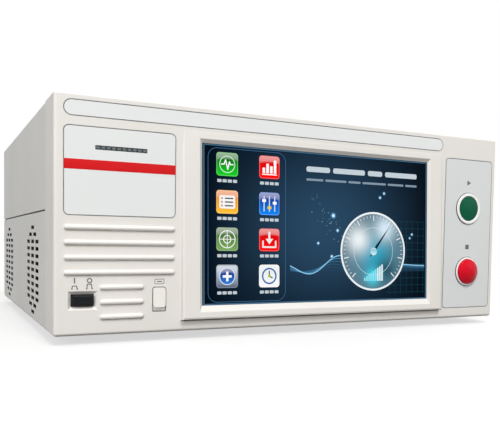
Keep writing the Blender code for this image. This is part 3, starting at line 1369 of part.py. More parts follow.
def fan_frame():
    """The square fan housing, with its motor cup and spindle on four arms."""
    back = BACK_INSIDE - GAP
    front = back - FAN_DEPTH
    bm = bmesh.new()
    add_block(bm, *centred_box(FAN_X, FAN_SIZE, front, back, FAN_HEIGHT, FAN_SIZE),
              2 * CORNER_RADIUS, along(Y_AXIS), 3)
    frame = part("fan_frame", bm, "black plastic")
    bore = bmesh.new()
    add_rod(bore, Y_AXIS, fan_centre(front - OVERSHOOT), FAN_DEPTH + 2 * OVERSHOOT,
            FAN_BORE_RADIUS, sides=36)
    reach = FAN_SIZE / 2 - FAN_SCREW_INSET
    for x in (-reach, reach):
        for z in (-reach, reach):
            start = fan_centre(front - OVERSHOOT) + Vector((x, 0, z))
            add_rod(bore, Y_AXIS, start, FAN_DEPTH + 2 * OVERSHOOT, FAN_SCREW_RADIUS, sides=8)
    cut(frame, tool("fan_bore", bore))
    arms = bmesh.new()
    half = FAN_BORE_RADIUS + OVERSHOOT
    add_block(arms, *centred_box(FAN_X, 2 * half, front, front + FAN_MOTOR_DEPTH,
                                 FAN_HEIGHT, FAN_ARM_WIDTH))
    fuse(frame, tool("fan_arms_across", arms))
    arms = bmesh.new()
    add_block(arms, *centred_box(FAN_X, FAN_ARM_WIDTH, front, front + FAN_MOTOR_DEPTH,
                                 FAN_HEIGHT, 2 * half))
    fuse(frame, tool("fan_arms_upright", arms))
    motor = bmesh.new()
    add_rod(motor, Y_AXIS, fan_centre(front - GAP), FAN_MOTOR_DEPTH + 2 * GAP,
            FAN_HUB_RADIUS, sides=24)
    fuse(frame, tool("fan_motor", motor))
    spindle = bmesh.new()
    add_rod(spindle, Y_AXIS, fan_centre(front + FAN_MOTOR_DEPTH / 2),
            FAN_MOTOR_DEPTH / 2 + FAN_SPINDLE_LENGTH, FAN_SPINDLE_RADIUS, sides=12)
    fuse(frame, tool("fan_spindle", spindle))


def fan_rotor():
    """A hub with seven twisted blades, on the frame's spindle."""
    front = BACK_INSIDE - GAP - FAN_DEPTH + FAN_MOTOR_DEPTH + 2 * GAP
    back = BACK_INSIDE - GAP - OVERSHOOT
    length = back - front
    centre = fan_centre(front + length / 2)
    hub = bmesh.new()
    add_rod(hub, Y_AXIS, fan_centre(front), length, FAN_HUB_RADIUS, sides=28)
    rotor = part("fan_rotor", hub, "black plastic", origin=centre)
    root = FAN_HUB_RADIUS - 2 * OVERSHOOT
    tip = math.sqrt((FAN_BORE_RADIUS - FAN_TIP_GAP) ** 2 - (FAN_CHORD / 2) ** 2)
    root_pitch = math.radians(FAN_ROOT_PITCH)
    tip_pitch = math.radians(FAN_TIP_PITCH)
    blades = bmesh.new()
    for i in range(FAN_BLADES):
        turn = Matrix.Rotation(2 * math.pi * i / FAN_BLADES, 3, "Y")
        half = FAN_BLADE_THICKNESS / 2
        for vert in add_block(blades, (root, -half, -1.0), (tip, half, 1.0)):
            outer = vert.co.x > (root + tip) / 2
            chord = FAN_CHORD if outer else FAN_ROOT_CHORD
            vert.co.z = math.copysign(chord / 2, vert.co.z)
            pitch = Matrix.Rotation(tip_pitch if outer else root_pitch, 3, "X")
            vert.co = centre + turn @ (pitch @ vert.co)
    fuse(rotor, tool("fan_blades", blades))
    bore = bmesh.new()
    add_rod(bore, Y_AXIS, fan_centre(front - OVERSHOOT),
            FAN_SPINDLE_LENGTH + 2 * OVERSHOOT, FAN_SPINDLE_RADIUS + GAP, sides=12)
    cut(rotor, tool("rotor_bore", bore))


def fan_guard():
    """A wire guard: rings on four ribs, with feet at the corners."""
    depth = HOUSING_DEPTH + GAP
    bm = bmesh.new()
    reach = (FAN_SIZE / 2 - FAN_SCREW_INSET) * math.sqrt(2)
    for i in range(2):
        turn = Matrix.Rotation(math.radians(45 + 90 * i), 4, "Y")
        rib = bmesh.new()
        add_rod(rib, X_AXIS, (-reach, 0, 0), 2 * reach, GUARD_WIRE, sides=6)
        bmesh.ops.transform(rib, matrix=turn, verts=rib.verts)
        bmesh.ops.translate(rib, vec=fan_centre(depth + GUARD_WIRE), verts=rib.verts)
        if i == 0:
            guard = part("fan_guard", rib, "nickel plate")
        else:
            fuse(guard, tool("guard_rib", rib))
    for i in range(GUARD_RING_COUNT):
        radius = FAN_BORE_RADIUS - GUARD_TO_BORE - i * GUARD_RING_PITCH
        circle = [(radius + GUARD_WIRE * math.cos(a), GUARD_WIRE * math.sin(a))
                  for a in (math.radians(-72 * k) for k in range(5))]
        add_turned(bm, circle, fan_centre(depth + 2 * GUARD_WIRE), Y_AXIS, 1, steps=20)
    fuse(guard, tool("guard_rings", bm))
    eyes = bmesh.new()
    reach = FAN_SIZE / 2 - FAN_SCREW_INSET
    for x in (-reach, reach):
        for z in (-reach, reach):
            add_rod(eyes, Y_AXIS, fan_centre(depth) + Vector((x, 0, z)), 2 * GUARD_WIRE,
                    GUARD_EYE_RADIUS, sides=10)
    fuse(guard, tool("guard_eyes", eyes))


# Mains inlet

def mains_inlet():
    """An appliance inlet with three pins over a drawer for the fuses."""
    flange_back = HOUSING_DEPTH + GAP
    rim = flange_back + INLET_FLANGE
    bm = bmesh.new()
    add_block(bm, *centred_box(INLET_X, INLET_WIDTH, flange_back, rim, INLET_HEIGHT,
                               INLET_TALL), INLET_RADIUS, along(Y_AXIS), 3)
    inlet = part("mains_inlet", bm, "black plastic")
    body = bmesh.new()
    inset = 2 * INLET_BODY_INSET
    add_block(body, *centred_box(INLET_X, INLET_WIDTH - inset, rim - INLET_BODY_DEPTH,
                                 rim - OVERSHOOT, INLET_HEIGHT, INLET_TALL - inset))
    fuse(inlet, tool("inlet_body", body))
    cavity = bmesh.new()
    socket_height = INLET_HEIGHT + INLET_CAVITY_RISE
    add_block(cavity, *centred_box(INLET_X, INLET_CAVITY_WIDTH, rim - INLET_CAVITY_DEPTH,
                                   rim + OVERSHOOT, socket_height, INLET_CAVITY_HEIGHT),
              INLET_CAVITY_RADIUS, upright_corners_above(socket_height), 2)
    add_block(cavity, *centred_box(INLET_X, DRAWER_WIDTH + 2 * GAP,
                                   rim - DRAWER_LENGTH - GAP, rim + OVERSHOOT,
                                   INLET_HEIGHT - DRAWER_DROP, DRAWER_HEIGHT + 2 * GAP))
    cut(inlet, tool("inlet_cavity", cavity))
    pins = bmesh.new()
    for column in (-1, 0, 1):
        rise = -INLET_PIN_STAGGER if column else INLET_PIN_STAGGER
        add_block(pins, *centred_box(INLET_X + column * INLET_PIN_SPACING, INLET_PIN_WIDTH,
                                     rim - INLET_CAVITY_DEPTH - OVERSHOOT,
                                     rim - INLET_PIN_TO_MOUTH, socket_height + rise,
                                     INLET_PIN_TALL))
    fuse(inlet, tool("inlet_pins", pins))


def fuse_drawer():
    rim = HOUSING_DEPTH + GAP + INLET_FLANGE
    height = INLET_HEIGHT - DRAWER_DROP
    bm = bmesh.new()
    add_block(bm, *centred_box(INLET_X, DRAWER_WIDTH, rim - DRAWER_LENGTH, rim, height,
                               DRAWER_HEIGHT))
    origin = (INLET_X, y_at(rim), z_at(height))
    drawer = part("fuse_drawer", bm, "black plastic", origin=origin)
    handle = bmesh.new()
    add_block(handle, *centred_box(INLET_X, DRAWER_HANDLE_WIDTH, rim - OVERSHOOT,
                                   rim + DRAWER_HANDLE, height, DRAWER_HANDLE))
    fuse(drawer, tool("drawer_handle", handle))
    trough = bmesh.new()
    for side in (-1, 1):
        start = rim - DRAWER_LENGTH + DRAWER_TROUGH_TO_BACK
        add_rod(trough, Y_AXIS, (INLET_X + side * DRAWER_WIDTH / 4, y_at(start),
                                 z_at(height) + DRAWER_HEIGHT / 2), DRAWER_TROUGH_LENGTH,
                DRAWER_FUSE_RADIUS + GAP, sides=16)
    cut(drawer, tool("drawer_troughs", trough))


# Rear terminals and ports

def test_terminals():
    """Shrouded sockets, each turned from one profile."""
    for name, (x, height, radius, bore, coat) in terminal_places().items():
        neck = TERMINAL_NECK * radius
        top = TERMINAL_FLANGE + TERMINAL_PROUD - GAP
        profile = [(0.0, top), (neck, top), (neck, TERMINAL_FLANGE), (radius, TERMINAL_FLANGE),
                   (radius, 0.0), (neck, 0.0), (neck, -TERMINAL_TAIL), (0.0, -TERMINAL_TAIL)]
        bm = bmesh.new()
        add_turned(bm, profile, (x, y_at(HOUSING_DEPTH + GAP), z_at(height)), Y_AXIS, 1,
                   steps=16)
        terminal = part(name, bm, coat)
        hole = bmesh.new()
        start = HOUSING_DEPTH + GAP + BORE_BOTTOM - TERMINAL_TAIL
        add_rod(hole, Y_AXIS, (x, y_at(start), z_at(height)), top - BORE_BOTTOM + TERMINAL_TAIL
                + OVERSHOOT, bore, sides=12)
        cut(terminal, tool(name + "_bore", hole))


def device_outlet():
    """The outlet that feeds the apparatus under test."""
    rim = HOUSING_DEPTH + GAP + OUTLET_PROUD
    bm = bmesh.new()
    add_block(bm, *centred_box(OUTLET_X, OUTLET_WIDTH, HOUSING_DEPTH + GAP, rim, OUTLET_HEIGHT,
                               OUTLET_TALL), OUTLET_RADIUS, along(Y_AXIS), 3)
    outlet = part("device_outlet", bm, "black plastic")
    body = bmesh.new()
    inset = 2 * INLET_BODY_INSET
    add_block(body, *centred_box(OUTLET_X, OUTLET_WIDTH - inset, rim - OUTLET_BODY_DEPTH,
                                 rim - OVERSHOOT, OUTLET_HEIGHT, OUTLET_TALL - inset))
    fuse(outlet, tool("outlet_body", body))
    slots = bmesh.new()
    for column in (-1, 0, 1):
        rise = -OUTLET_SIDE_SLOT_DROP if column else OUTLET_MIDDLE_SLOT_RISE
        add_block(slots, *centred_box(OUTLET_X + column * OUTLET_SLOT_SPACING, OUTLET_SLOT_WIDTH,
                                      rim - OUTLET_SLOT_DEPTH, rim + OVERSHOOT,
                                      OUTLET_HEIGHT + rise, OUTLET_SLOT_HEIGHT))
    cut(outlet, tool("outlet_slots", slots))


def serial_port():
    """A nine-way connector behind a steel plate, with its two posts."""
    plate_back = HOUSING_DEPTH + GAP
    bm = bmesh.new()
    add_block(bm, *centred_box(SERIAL_X, SERIAL_PLATE_WIDTH, plate_back, plate_back + OVERSHOOT,
                               SERIAL_HEIGHT, SERIAL_PLATE_HEIGHT), OVERSHOOT, along(Y_AXIS), 2)
    port = part("serial_port", bm, "nickel plate")
    shell = bmesh.new()
    add_block(shell, *centred_box(SERIAL_X, SERIAL_SHELL_WIDTH, BACK_INSIDE - SERIAL_TAIL,
                                  plate_back + SERIAL_PROUD, SERIAL_HEIGHT, SERIAL_SHELL_HEIGHT),
              2 * OVERSHOOT, along(Y_AXIS), 2)
    fuse(port, tool("serial_shell", shell))
    mouth = bmesh.new()
    add_block(mouth, *centred_box(SERIAL_X, SERIAL_SHELL_WIDTH - 2 * OVERSHOOT, plate_back,
                                  plate_back + SERIAL_PROUD + OVERSHOOT, SERIAL_HEIGHT,
                                  SERIAL_SHELL_HEIGHT - 2 * OVERSHOOT), OVERSHOOT,
              along(Y_AXIS), 2)
    cut(port, tool("serial_mouth", mouth))
    posts = bmesh.new()
    for side in (-1, 1):
        x = SERIAL_X + side * (SERIAL_PLATE_WIDTH + SERIAL_SHELL_WIDTH) / 4
        add_rod(posts, Y_AXIS, (x, y_at(plate_back + OVERSHOOT / 2), z_at(SERIAL_HEIGHT)),
                SERIAL_PROUD - OVERSHOOT, SERIAL_POST_RADIUS, sides=6)
    fuse(port, tool("serial_posts", posts))


def network_port():
    rim = HOUSING_DEPTH + OVERSHOOT
    bm = bmesh.new()
    add_block(bm, *centred_box(NETWORK_X, NETWORK_WIDTH, rim - NETWORK_BODY_DEPTH, rim,
                               NETWORK_HEIGHT, NETWORK_TALL))
    port = part("network_port", bm, "nickel plate")
    mouth = bmesh.new()
    add_block(mouth, *centred_box(NETWORK_X, NETWORK_CAVITY_WIDTH, rim - NETWORK_CAVITY_DEPTH,
                                  rim + OVERSHOOT, NETWORK_HEIGHT + OVERSHOOT,
                                  NETWORK_CAVITY_HEIGHT))
    cut(port, tool("network_mouth", mouth))
    latch = bmesh.new()
    add_block(latch, *centred_box(NETWORK_X, NETWORK_LATCH_WIDTH, rim - NETWORK_LATCH_DEPTH,
                                  rim + OVERSHOOT, NETWORK_HEIGHT - NETWORK_CAVITY_HEIGHT / 2,
                                  NETWORK_LATCH_TALL))
    cut(port, tool("network_latch", latch))


def earth_terminal():
    bm = bmesh.new()
    inside = BACK_INSIDE - GAP - EARTH_HEAD_THICKNESS
    add_rod(bm, Y_AXIS, (EARTH_X, y_at(inside), z_at(EARTH_HEIGHT)),
            HOUSING_DEPTH - inside + EARTH_STUD_PROUD, EARTH_STUD_RADIUS, sides=16)
    stud = part("earth_stud", bm, "brass")
    head = bmesh.new()
    add_rod(head, Y_AXIS, (EARTH_X, y_at(inside - GAP), z_at(EARTH_HEIGHT)),
            EARTH_HEAD_THICKNESS, EARTH_NUT_RADIUS, sides=6)
    fuse(stud, tool("earth_stud_head", head))
    nut = bmesh.new()
    start = HOUSING_DEPTH + GAP
    add_rod(nut, Y_AXIS, (EARTH_X, y_at(start), z_at(EARTH_HEIGHT)), EARTH_NUT_THICKNESS,
            EARTH_NUT_RADIUS, sides=6)
    earth_nut = part("earth_nut", nut, "brass")
    thread = bmesh.new()
    add_rod(thread, Y_AXIS, (EARTH_X, y_at(start - OVERSHOOT), z_at(EARTH_HEIGHT)),
            EARTH_NUT_THICKNESS + 2 * OVERSHOOT, EARTH_STUD_RADIUS + GAP, sides=16)
    cut(earth_nut, tool("earth_thread", thread))


# Inside

def board(name, extras):
    """A circuit board on its standoffs, with blocks (x, depth, width, length, tall) on it."""
    x, front, width, length = board_places()[name]
    bottom = FLOOR + STANDOFF_HEIGHT + GAP
    top = bottom + BOARD_THICKNESS
    bm = bmesh.new()
    add_block(bm, *floor_box(x, width, front, length, bottom, BOARD_THICKNESS))
    item = part(name, bm, "circuit board")
    blocks = bmesh.new()
    for across, depth, wide, long, tall in extras:
        add_block(blocks, *floor_box(x + across, wide, front + depth, long, top - CHIP_SINK,
                                     tall + CHIP_SINK))
    fuse(item, tool(name + "_extras", blocks))


def boards():
    """The three boards, with their chips, connectors, coils and relays."""
    _, _, width, length = board_places()["main_board"]
    chips = [(-width / 4, length / 3, PROCESSOR_SIDE, PROCESSOR_SIDE, CHIP_TALL),
             (width / 8, length / 3, MEMORY_WIDTH, MEMORY_LENGTH, CHIP_TALL),
             (width / 3, length / 3, CONVERTER_WIDTH, CONVERTER_LENGTH, CONVERTER_TALL)]
    far_edge = length - CONNECTOR_LENGTH - STANDOFF_INSET
    connectors = [(across, depth, width / 2, CONNECTOR_LENGTH, CONNECTOR_TALL)
                  for across, depth in ((0.0, STANDOFF_INSET), (width / 8, far_edge))]
    board("main_board", chips + connectors)
    pitch = board_places()["power_supply_board"][2] / 3
    side_width = pitch - SUPPLY_SIDE_GAP
    supply = [(-pitch, SUPPLY_FRONT_DEPTH, side_width, CAPACITOR_LENGTH, CAPACITOR_TALL),
              (0.0, SUPPLY_COIL_DEPTH, pitch - SUPPLY_MIDDLE_GAP, SUPPLY_COIL_LENGTH,
               SUPPLY_COIL_TALL),
              (pitch, SUPPLY_FRONT_DEPTH, side_width, CHOKE_LENGTH, CHOKE_TALL),
              (pitch, SUPPLY_SINK_DEPTH, SUPPLY_SINK_WIDTH, SUPPLY_SINK_LENGTH,
               SUPPLY_SINK_TALL)]
    board("power_supply_board", supply)
    columns = int(RELAY_BOARD_WIDTH / RELAY_PITCH)
    relays = [((column - (columns - 1) / 2) * RELAY_PITCH, RELAY_EDGE + row * RELAY_ROW_PITCH,
               RELAY_WIDTH, RELAY_LENGTH, RELAY_TALL)
              for column in range(columns) for row in range(RELAY_ROWS)]
    board("relay_board", relays)


def heat_sink():
    """An extruded heat sink, fins upright, on the chassis floor."""
    bottom = FLOOR + GAP
    bm = bmesh.new()
    add_block(bm, *floor_box(HEAT_SINK_X, HEAT_SINK_WIDTH, HEAT_SINK_DEPTH, HEAT_SINK_LENGTH,
                             bottom, HEAT_SINK_BASE))
    sink = part("amplifier_heat_sink", bm, "aluminium")
    fins = bmesh.new()
    count = int((HEAT_SINK_WIDTH - FIN_THICKNESS) / FIN_PITCH) + 1
    for i in range(count):
        x = HEAT_SINK_X + (i - (count - 1) / 2) * FIN_PITCH
        add_block(fins, *floor_box(x, FIN_THICKNESS, HEAT_SINK_DEPTH, HEAT_SINK_LENGTH,
                                   bottom + HEAT_SINK_BASE / 2,
                                   HEAT_SINK_HEIGHT - HEAT_SINK_BASE / 2))
    fuse(sink, tool("heat_sink_fins", fins))


def isolation_transformer():
    """A laminated core with two windows, and the winding on its middle limb."""
    bottom = FLOOR + GAP
    middle_limb = 2 * CORE_LIMB
    window = (CORE_WIDTH - 2 * CORE_LIMB - middle_limb) / 2
    bm = bmesh.new()
    add_block(bm, *floor_box(LEFT_BAY_X, CORE_WIDTH, CORE_DEPTH, CORE_STACK, bottom,
                             CORE_HEIGHT))
    core = part("transformer_core", bm, "core steel")
    windows = bmesh.new()
    for side in (-1, 1):
        x = LEFT_BAY_X + side * (middle_limb + window) / 2
        add_block(windows, *floor_box(x, window, CORE_DEPTH - OVERSHOOT,
                                      CORE_STACK + 2 * OVERSHOOT, bottom + CORE_LIMB,
                                      CORE_HEIGHT - 2 * CORE_LIMB))
    cut(core, tool("core_windows", windows))
    coil = bmesh.new()
    width = middle_limb + 2 * min(WINDING_WALL, window - GAP)
    add_block(coil, *floor_box(LEFT_BAY_X, width, CORE_DEPTH - WINDING_WALL,
                               CORE_STACK + 2 * WINDING_WALL, bottom + CORE_LIMB + GAP,
                               CORE_HEIGHT - 2 * CORE_LIMB - 2 * GAP), WINDING_RADIUS,
              along(Z_AXIS), 3)
    winding = part("transformer_winding", coil, "winding tape")
    limb = bmesh.new()
    add_block(limb, *floor_box(LEFT_BAY_X, middle_limb + 2 * GAP, CORE_DEPTH - GAP,
                               CORE_STACK + 2 * GAP, bottom, CORE_HEIGHT))
    cut(winding, tool("middle_limb", limb))


def high_voltage_transformer():
    """A potted transformer with two high-voltage bushings on top."""
    bottom = FLOOR + GAP
    front = HOUSING_DEPTH - POTTED_TO_BACK
    bm = bmesh.new()
    add_block(bm, *floor_box(POTTED_X, POTTED_WIDTH, front, POTTED_LENGTH, bottom,
                             POTTED_HEIGHT), POTTED_RADIUS, along(Z_AXIS), 3)
    block = part("high_voltage_transformer", bm, "potting resin")
    bushings = bmesh.new()
    base = z_at(bottom + POTTED_HEIGHT) - OVERSHOOT
    profile = [(0.0, BUSHING_HEIGHT), (BUSHING_TIP, BUSHING_HEIGHT)]
    for rib in range(BUSHING_RIB_COUNT):
        top = BUSHING_HEIGHT - BUSHING_RIB_TO_TOP - rib * BUSHING_RIB_PITCH
        profile += [(BUSHING_RADIUS, top), (BUSHING_WAIST, top - BUSHING_RIB_TALL)]
    profile += [(BUSHING_WAIST, 0.0), (0.0, 0.0)]
    for side in (-1, 1):
        place = (POTTED_X + side * POTTED_WIDTH / 4, y_at(front + POTTED_LENGTH / 2), base)
        add_turned(bushings, profile, place, Z_AXIS, 1, steps=10)
    fuse(block, tool("bushings", bushings))


def build():
    display = display_empty()
    front_bezel(display)
    overlays()
    lamp_window()
    lamp_board()
    display_stack(display)
    push_button("start", "green plastic", START_HEIGHT, START_CAP_RADIUS, START_RING_RADIUS,
                START_CAP_PROUD, "white plastic")
    push_button("stop", "red plastic", STOP_HEIGHT, STOP_CAP_RADIUS, STOP_RING_RADIUS,
                STOP_CAP_PROUD - OVERLAY_PROUD - GAP, "white plastic")
    power_switch()
    port_cover()
    port_socket()
    shells()
    cover_screws()
    front_subframe()
    side_rails()
    divider_wall()
    rear_panel()
    feet()
    fan_frame()
    fan_rotor()
    fan_guard()
    mains_inlet()
    fuse_drawer()
    test_terminals()
    device_outlet()
    serial_port()
    network_port()
    earth_terminal()
    boards()
    heat_sink()
    isolation_transformer()
    high_voltage_transformer()


clear_scene()
PARTS = new_collection("electrical_safety_analyzer")
TOOLS = new_collection("cutting_shapes")
build()
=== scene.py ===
"""Dressed model of a bench electrical safety analyzer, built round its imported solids.

X runs to the right, the front faces -Y and Z is up. Sizes are in millimetres, and a
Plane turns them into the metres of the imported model.
"""

import json
import logging
import math
from collections.abc import Callable, Iterator, Sequence
from contextlib import contextmanager
from dataclasses import dataclass, field
from enum import Enum

import bmesh
import bpy
import numpy as np
from mathutils import Matrix, Vector


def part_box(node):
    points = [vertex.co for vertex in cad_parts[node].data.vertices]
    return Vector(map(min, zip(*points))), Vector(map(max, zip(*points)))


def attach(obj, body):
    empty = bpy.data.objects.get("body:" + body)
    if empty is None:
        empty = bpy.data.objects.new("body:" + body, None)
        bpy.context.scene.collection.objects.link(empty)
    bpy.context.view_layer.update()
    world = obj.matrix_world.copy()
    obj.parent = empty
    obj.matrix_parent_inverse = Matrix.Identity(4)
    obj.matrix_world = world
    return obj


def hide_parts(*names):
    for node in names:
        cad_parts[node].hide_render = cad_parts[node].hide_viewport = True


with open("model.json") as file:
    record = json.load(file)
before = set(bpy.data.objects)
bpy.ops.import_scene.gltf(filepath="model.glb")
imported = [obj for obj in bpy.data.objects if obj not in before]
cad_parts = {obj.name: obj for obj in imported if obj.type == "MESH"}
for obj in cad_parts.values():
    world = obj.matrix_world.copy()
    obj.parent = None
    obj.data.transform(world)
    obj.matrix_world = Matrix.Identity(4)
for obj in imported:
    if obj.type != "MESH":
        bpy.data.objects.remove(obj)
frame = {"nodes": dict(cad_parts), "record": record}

Array = np.ndarray
Tint = str | Callable[[Array, Array], Array] | None
Point = tuple[float, float]
Place = tuple[float, float, float]
Area = tuple[float, float, float, float]
log = logging.getLogger("analyzer")
BODY_OF = {node: body for body, nodes in frame["record"]["behaviour"]["bodies"].items()
           for node in nodes}
SLOT_OF = {part["node"]: part["material_slot"] for part in frame["record"]["subparts"]}

MM = 0.001
QUARTER = math.pi / 2
RIGHT, LEFT, BACK, UP = (1.0, 0.0, 0.0), (-1.0, 0.0, 0.0), (0.0, 1.0, 0.0), (0.0, 0.0, 1.0)

# Points nearer than this, in metres, are one: in a new skin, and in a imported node's copy.
SKIN_MERGE = 2e-7
NODE_MERGE = 2e-6
# The angles in degrees up to which a copy's faces are one, and past which its edges are
# sharp: everywhere, and inside the crisp areas of the front.
FLAT_ANGLE = 1.0
EDGE_ANGLE = 40.0
CRISP_ANGLE = 6.0
# The weight of the front's top edge for its bevel, where its other outer edges weigh 1, and
# how near to its box an outer edge lies.
CREST_WEIGHT = 0.45
OUTER_BAND = 0.3


# Colours and materials

def linear(colour: str) -> tuple[float, float, float, float]:
    """Turn an sRGB hex colour into linear red, green, blue and alpha.

    Args:
        colour: the colour as "#rrggbb".
    Returns:
        c / 12.92 below 0.04045 and ((c + 0.055) / 1.055) ** 2.4 above it, with alpha 1.
    """
    parts = [int(colour[i:i + 2], 16) / 255 for i in (1, 3, 5)]
    red, green, blue = (c / 12.92 if c <= 0.04045 else ((c + 0.055) / 1.055) ** 2.4
                        for c in parts)
    return red, green, blue, 1.0


def add_node(tree: bpy.types.NodeTree, kind: str, inputs: dict | None = None,
             **settings: object) -> bpy.types.Node:
    """Add a shader node with its settings, values and links.

    Args:
        tree: the node tree that takes it.
        kind: the node's type, without its "ShaderNode".
        inputs: a value or an output socket for each input, by name or number.
        settings: the node's own properties.
    Returns:
        The new node.
    """
    node = tree.nodes.new("ShaderNode" + kind)
    for key, value in settings.items():
        setattr(node, key, value)
    for key, value in (inputs or {}).items():
        if isinstance(value, bpy.types.NodeSocket):
            tree.links.new(value, node.inputs[key])
        else:
            node.inputs[key].default_value = value
    return node


def blank_material(title: str) -> tuple[bpy.types.Material, bpy.types.NodeTree]:
    """Make a material with an empty node tree.

    Args:
        title: the material's name.
    Returns:
        The material and its tree.
    """
    material = bpy.data.materials.new(title)
    material.use_nodes = True
    material.node_tree.nodes.clear()
    return material, material.node_tree


class Grain(Enum):
    """How a surface is broken up, as stretches of its noise along X, Y and Z."""

    EVEN = (1.0, 1.0, 1.0)
    ALONG_X = (0.04, 1.0, 1.0)
    ALONG_Y = (1.0, 0.04, 1.0)
    SHEETS = (0.02, 1.0, 0.02)


@dataclass(frozen=True)
class Coat:
    """A real finish: two near colours that drift into each other over a fine relief."""

    title: str
    colour: str
    shade: str
    roughness: float
    metallic: float = 0.0
    spread: float = 0.06
    drift: float = 30.0
    grain: Grain = Grain.EVEN
    grain_size: float = 0.5
    relief: float = 0.01
    specular: float = 0.5
    gloss: float = 0.0
    gloss_roughness: float = 0.08
    grain_share: float = 0.3
    tone_range: Point = (0.3, 0.7)
    sheen_range: Point = (0.25, 0.75)
    smoothest: float = 0.02

    def material(self) -> bpy.types.Material:
        """Build the finish once, on object coordinates counted in millimetres.

        Returns:
            The material. Its colour is colour + (shade - colour) n, its roughness drifts by
            spread with n, and its height is relief g, where n mixes a noise of the drift's
            size with g, a noise of the grain's size.
        """
        known = bpy.data.materials.get(self.title)
        if known:
            return known
        material, tree = blank_material(self.title)
        place = add_node(tree, "TexCoord").outputs["Object"]
        scale = tuple(stretch / MM for stretch in self.grain.value)
        even = add_node(tree, "Mapping", {"Vector": place, "Scale": (1 / MM,) * 3})
        drawn = add_node(tree, "Mapping", {"Vector": place, "Scale": scale})
        drift = add_node(tree, "TexNoise", {"Vector": even.outputs[0],
                                            "Scale": 1 / self.drift, "Detail": 3.0})
        grain = add_node(tree, "TexNoise", {"Vector": drawn.outputs[0],
                                            "Scale": 1 / self.grain_size, "Detail": 2.0})
        both = add_node(tree, "Mix", {0: self.grain_share, 2: drift.outputs[0],
                                      3: grain.outputs[0]})
        soft = add_node(tree, "MapRange", {"Value": both.outputs[0],
                                           "From Min": self.tone_range[0],
                                           "From Max": self.tone_range[1]})
        colour = add_node(tree, "Mix", {0: soft.outputs[0], 6: linear(self.colour),
                                        7: linear(self.shade)}, data_type="RGBA")
        rough = add_node(tree, "MapRange", {
            "Value": both.outputs[0], "From Min": self.sheen_range[0],
            "From Max": self.sheen_range[1],
            "To Min": max(self.roughness - self.spread, self.smoothest),
            "To Max": min(self.roughness + self.spread, 1.0)})
        bump = add_node(tree, "Bump", {"Height": grain.outputs[0], "Strength": 1.0,
                                       "Distance": self.relief * MM})
        shader = add_node(tree, "BsdfPrincipled", {
            "Base Color": colour.outputs[2], "Roughness": rough.outputs[0],
            "Metallic": self.metallic, "Normal": bump.outputs[0],
            "Coat Weight": self.gloss, "Coat Roughness": self.gloss_roughness})
        if not self.metallic:
            shader.inputs["Specular IOR Level"].default_value = self.specular
        add_node(tree, "OutputMaterial", {"Surface": shader.outputs[0]})
        return material


@dataclass(frozen=True)
class LitCoat:
    """A lit display: its picture is the point colour "tint", part of it given off."""

    title: str
    light: float = 0.62
    body: float = 0.38
    body_drift: float = 0.04
    roughness: float = 0.16
    sheen_drift: float = 0.03
    specular: float = 0.012
    pixel: float = 0.9

    def material(self) -> bpy.types.Material:
        """Build the finish once: body x tint reflects, and light x tint is given off.

        Returns:
            The material, with a faint unevenness the size of the pixels.
        """
        known = bpy.data.materials.get(self.title)
        if known:
            return known
        material, tree = blank_material(self.title)
        tint = add_node(tree, "Attribute", attribute_name="tint").outputs["Color"]
        place = add_node(tree, "TexCoord").outputs["Object"]
        noise = add_node(tree, "TexNoise", {"Vector": place, "Scale": 1 / (self.pixel * MM)})
        share, rough = (add_node(tree, "MapRange", {"Value": noise.outputs[0],
                                                    "To Min": centre - drift,
                                                    "To Max": centre + drift})
                        for centre, drift in ((self.body, self.body_drift),
                                              (self.roughness, self.sheen_drift)))
        shown_part = add_node(tree, "Mix", {0: share.outputs[0], 6: (0.0, 0.0, 0.0, 1.0),
                                            7: tint}, data_type="RGBA")
        shader = add_node(tree, "BsdfPrincipled", {
            "Base Color": shown_part.outputs[2], "Roughness": rough.outputs[0],
            "Specular IOR Level": self.specular, "Emission Color": tint,
            "Emission Strength": self.light})
        add_node(tree, "OutputMaterial", {"Surface": shader.outputs[0]})
        return material


